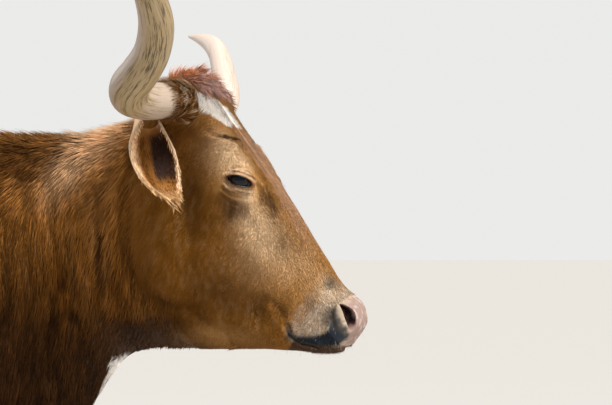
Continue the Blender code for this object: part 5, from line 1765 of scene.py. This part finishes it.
def make_poll_tuft(tree, finish):
    """The shaggy hair of the poll: locks that lie forward over the brow and lift their tips."""
    hairs = []
    for _ in range(POLL_LOCKS):
        across = draw.uniform(-1.0, 1.0)
        ahead = draw.uniform(-0.112, 0.010)
        width = 0.070 - 0.60 * max(-0.045 - ahead, 0.0)
        centre, normal = dropped(tree, POLL + (ahead, width * across, 0.12))
        if centre is None or centre[2] < POLL[2] - 0.034:
            continue
        forward = rise(ahead, -0.09, 0.012)
        run = unit(np.array((1.0, 0.0, 0.0)) - normal * normal[0])
        run = run + normal * draw.uniform(0.20, 0.62) * (1 - 0.45 * forward)
        run = unit(run + np.array((0.0, 0.45 * across + draw.normal(0, 0.22), 0.0)))
        length = draw.uniform(0.028, 0.050) * (1 - 0.28 * forward)
        tip = centre + run * length - normal * 0.004 * forward
        reddish = np.clip(1.0 - 0.95 * rise(ahead, -0.045, -0.002) + draw.normal(0, 0.20), 0, 1)
        colour = mix(TUFT_ROOT, TUFT_TIP, reddish) * draw.uniform(0.75, 1.2)
        for _ in range(HAIRS_IN_LOCK):
            root, out = dropped(tree, centre + np.append(draw.normal(0, 0.0042, 2), 0.06))
            if root is not None:
                hairs.append((root, out, tip + draw.normal(0, 0.0034, 3), colour * draw.uniform(0.75, 1.25)))
    roots, out, tips, colours = np.array(hairs).transpose(1, 0, 2)
    length = np.linalg.norm(tips - roots, axis=1)
    run = (tips - roots) / length[:, None]
    out = unit(along_surface(out, run))
    curl = draw.uniform(-0.12, 0.12, len(roots))
    hair = hair_mesh(roots, out, run, length, 0.0016, 0.30, 0.34, curl, 0.05, 3)
    add_hair("poll_tuft", hair, colours, finish, unwrapped(roots))


def make_switch(finish):
    """The long hair of the tail, in wavy strands that hang from its end."""
    count = SWITCH_HAIRS
    turn = draw.uniform(0, 2 * math.pi, count)
    level = draw.uniform(0.40, 0.76, count)
    out = np.column_stack([np.cos(turn), np.sin(turn), 0 * turn])
    roots = np.column_stack([np.full(count, -0.882), 0 * turn, level]) + out * 0.010
    run = unit(np.array((0.0, 0.0, -1.0)) + out * draw.uniform(0.02, 0.12, (count, 1)))
    length = np.minimum(draw.uniform(0.18, 0.34, count), level - 0.285)
    curl = draw.uniform(-0.05, 0.05, count)
    hair = hair_mesh(roots, out, run, length, 0.0042, 0.10, 0.09, curl, 0.022, 7, 0.004)
    tint = lay(np.broadcast_to(CHESTNUT_DARK, (count, 3)), CHESTNUT_PALE, draw.uniform(0, 0.7, count))
    pale = rise(ripple(roots, (0.01, 0.01, 0.5), 61) + (0.46 - level) * 3, 0.2, 0.6)
    pieces = add_hair("tail_hair", hair, lay(tint, CREAM, 0.8 * pale), finish, unwrapped(roots))
    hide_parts("tail_switch")


def make_whiskers(points, normals, finish):
    """Sparse pale bristles on muzzle and chin."""
    down, out, _ = face_frame(points)
    pick = draw.choice(np.flatnonzero((down > 0.43) & (out < 0.0) & (points[:, 0] > 1.05)), WHISKERS)
    roots = points[pick]
    run = unit(normals[pick] + lie_of_coat(roots, normals[pick]) * draw.uniform(0.1, 0.7, (WHISKERS, 1)))
    side = unit(np.cross(run, (0.0, 0.0, 1.0)))
    length = draw.uniform(0.006, 0.015, WHISKERS)
    hair = hair_mesh(roots, np.cross(side, run), run, length, 0.0004, 0.0, 0.15, 0.1, 0.02, 3)
    add_hair("whiskers", hair, CREAM * draw.uniform(0.3, 0.8, (WHISKERS, 1)), finish, unwrapped(roots))


def finish_hide(skin, finish):
    """Marks the hide, bends its neck, and lets it stand for the solids of flesh."""
    points = places(skin)
    paint(skin, markings(points) * 0.92)
    move_to(skin, packed(points))
    dress(skin, finish)
    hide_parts("head", "neck", "torso", "tail", "udder", *LEG_STEP)


def finish_claws(finish):
    """Rounds the claws' edges and gives them their horn."""
    for name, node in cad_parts.items():
        if "claw" in name:
            node.data.materials.clear()
            node.data.materials.append(finish)
            soft = node.modifiers.new("soft_edges", "BEVEL")
            soft.width = 0.0022
            soft.segments = 3
            soft.limit_method = "ANGLE"
            soft.angle_limit = math.radians(35.0)


def make_floor():
    """A plain pale floor."""
    corners = 60.0 * np.array([(-1, -1, 0), (1, -1, 0), (1, 1, 0), (-1, 1, 0)])
    floor = add_mesh("floor", corners, np.array([[0, 1, 2, 3]]))
    finish = Finish("floor", Roughness=0.9, Specular_IOR_Level=0.1, Base_Color=(0.62, 0.61, 0.59, 1.0))
    floor.data.materials.append(finish.material)


def make_light(name, kind, place, target, size, power, colour):
    """A large soft lamp or a broad sun, aimed from a place at another."""
    lamp = bpy.data.lights.new(name, kind)
    lamp.energy = power
    lamp.color = colour
    if kind == "SUN":
        lamp.angle = size
    else:
        lamp.shape = "SQUARE"
        lamp.size = size
    put(name, lamp, place, (Vector(target) - Vector(place)).to_track_quat("-Z", "Y").to_euler())


def light_studio():
    """Soft light from above and in front of the face, before a plain pale backdrop."""
    world = bpy.data.worlds.new("surround")
    bpy.context.scene.world = world
    world.use_nodes = True
    tree = world.node_tree
    fill = tree.nodes["Background"]
    fill.inputs["Color"].default_value = (1.0, 0.96, 0.90, 1.0)
    fill.inputs["Strength"].default_value = 0.37
    backdrop = tree.nodes.new("ShaderNodeBackground")
    backdrop.inputs["Color"].default_value = (0.83, 0.83, 0.82, 1.0)
    seen = tree.nodes.new("ShaderNodeLightPath")
    mix = tree.nodes.new("ShaderNodeMixShader")
    tree.links.new(seen.outputs["Is Camera Ray"], mix.inputs[0])
    tree.links.new(fill.outputs[0], mix.inputs[1])
    tree.links.new(backdrop.outputs[0], mix.inputs[2])
    tree.links.new(mix.outputs[0], tree.nodes["World Output"].inputs["Surface"])
    shining = (-0.42, 0.50, -0.95)
    make_light("key", "SUN", (0.0, 0.0, 0.0), shining, math.radians(26.0), 3.8, (1.0, 0.975, 0.94))
    make_light("front_panel", "AREA", (3.6, -1.6, 2.2), (0.8, 0.0, 1.1), 2.2, 45.0, (1.0, 0.97, 0.93))
    make_light("rear_panel", "AREA", (-3.5, 2.5, 3.2), (0.0, 0.0, 0.9), 3.0, 70.0, (0.95, 0.97, 1.0))


def place_camera():
    """The photograph's view: level with the cheek, from her right."""
    poll = packed(POLL)[0]
    camera = bpy.data.cameras.new("camera")
    camera.lens = 94.0
    camera.sensor_width = 36.0
    camera.clip_start = 0.05
    camera.clip_end = 200.0
    place = (poll[0] + POLL_OFF_MIDDLE * METRES_PER_PIXEL, poll[1] - 2.6, 1.096 + SHIFT[2])
    bpy.context.scene.camera = put("camera", camera, place, (math.radians(90.0 + 1.058), 0.0, 0.0))


def build():
    """Dresses the animal and sets the studio."""
    hair = coat_finish()
    hide = hide_finish()
    skin = make_hide()
    points = places(skin)
    tree = tree_of(points, triangles_of(skin))
    dress_coat(skin, hair)
    make_poll_tuft(tree, hair)
    make_whiskers(points, outward(skin), hair)
    eye = eye_finish()
    rim = rim_finish()
    for side_name in SIDES:
        make_eye(side_name, eye)
        route = make_lid_rim(side_name, tree, rim)
        make_lashes(side_name, route, hair)
        make_ear(side_name, hide, hair)
    make_horn("horn_right", horn_finish("horn_streaked", (0.47, 0.37, 0.29), (0.37, 0.265, 0.135), 1.0))
    # The far horn takes a paler, less streaked copy of the horn finish: partly its own paler colour, partly a
    # painted highlight.
    make_horn("horn_left", horn_finish("horn_pale_lit", (0.80, 0.66, 0.57), (0.56, 0.41, 0.30), 0.40))
    make_switch(hair)
    finish_claws(claw_finish())
    finish_hide(skin, hide)
    make_floor()
    light_studio()
    place_camera()


bpy.context.scene.view_settings.view_transform = "Standard"
build()
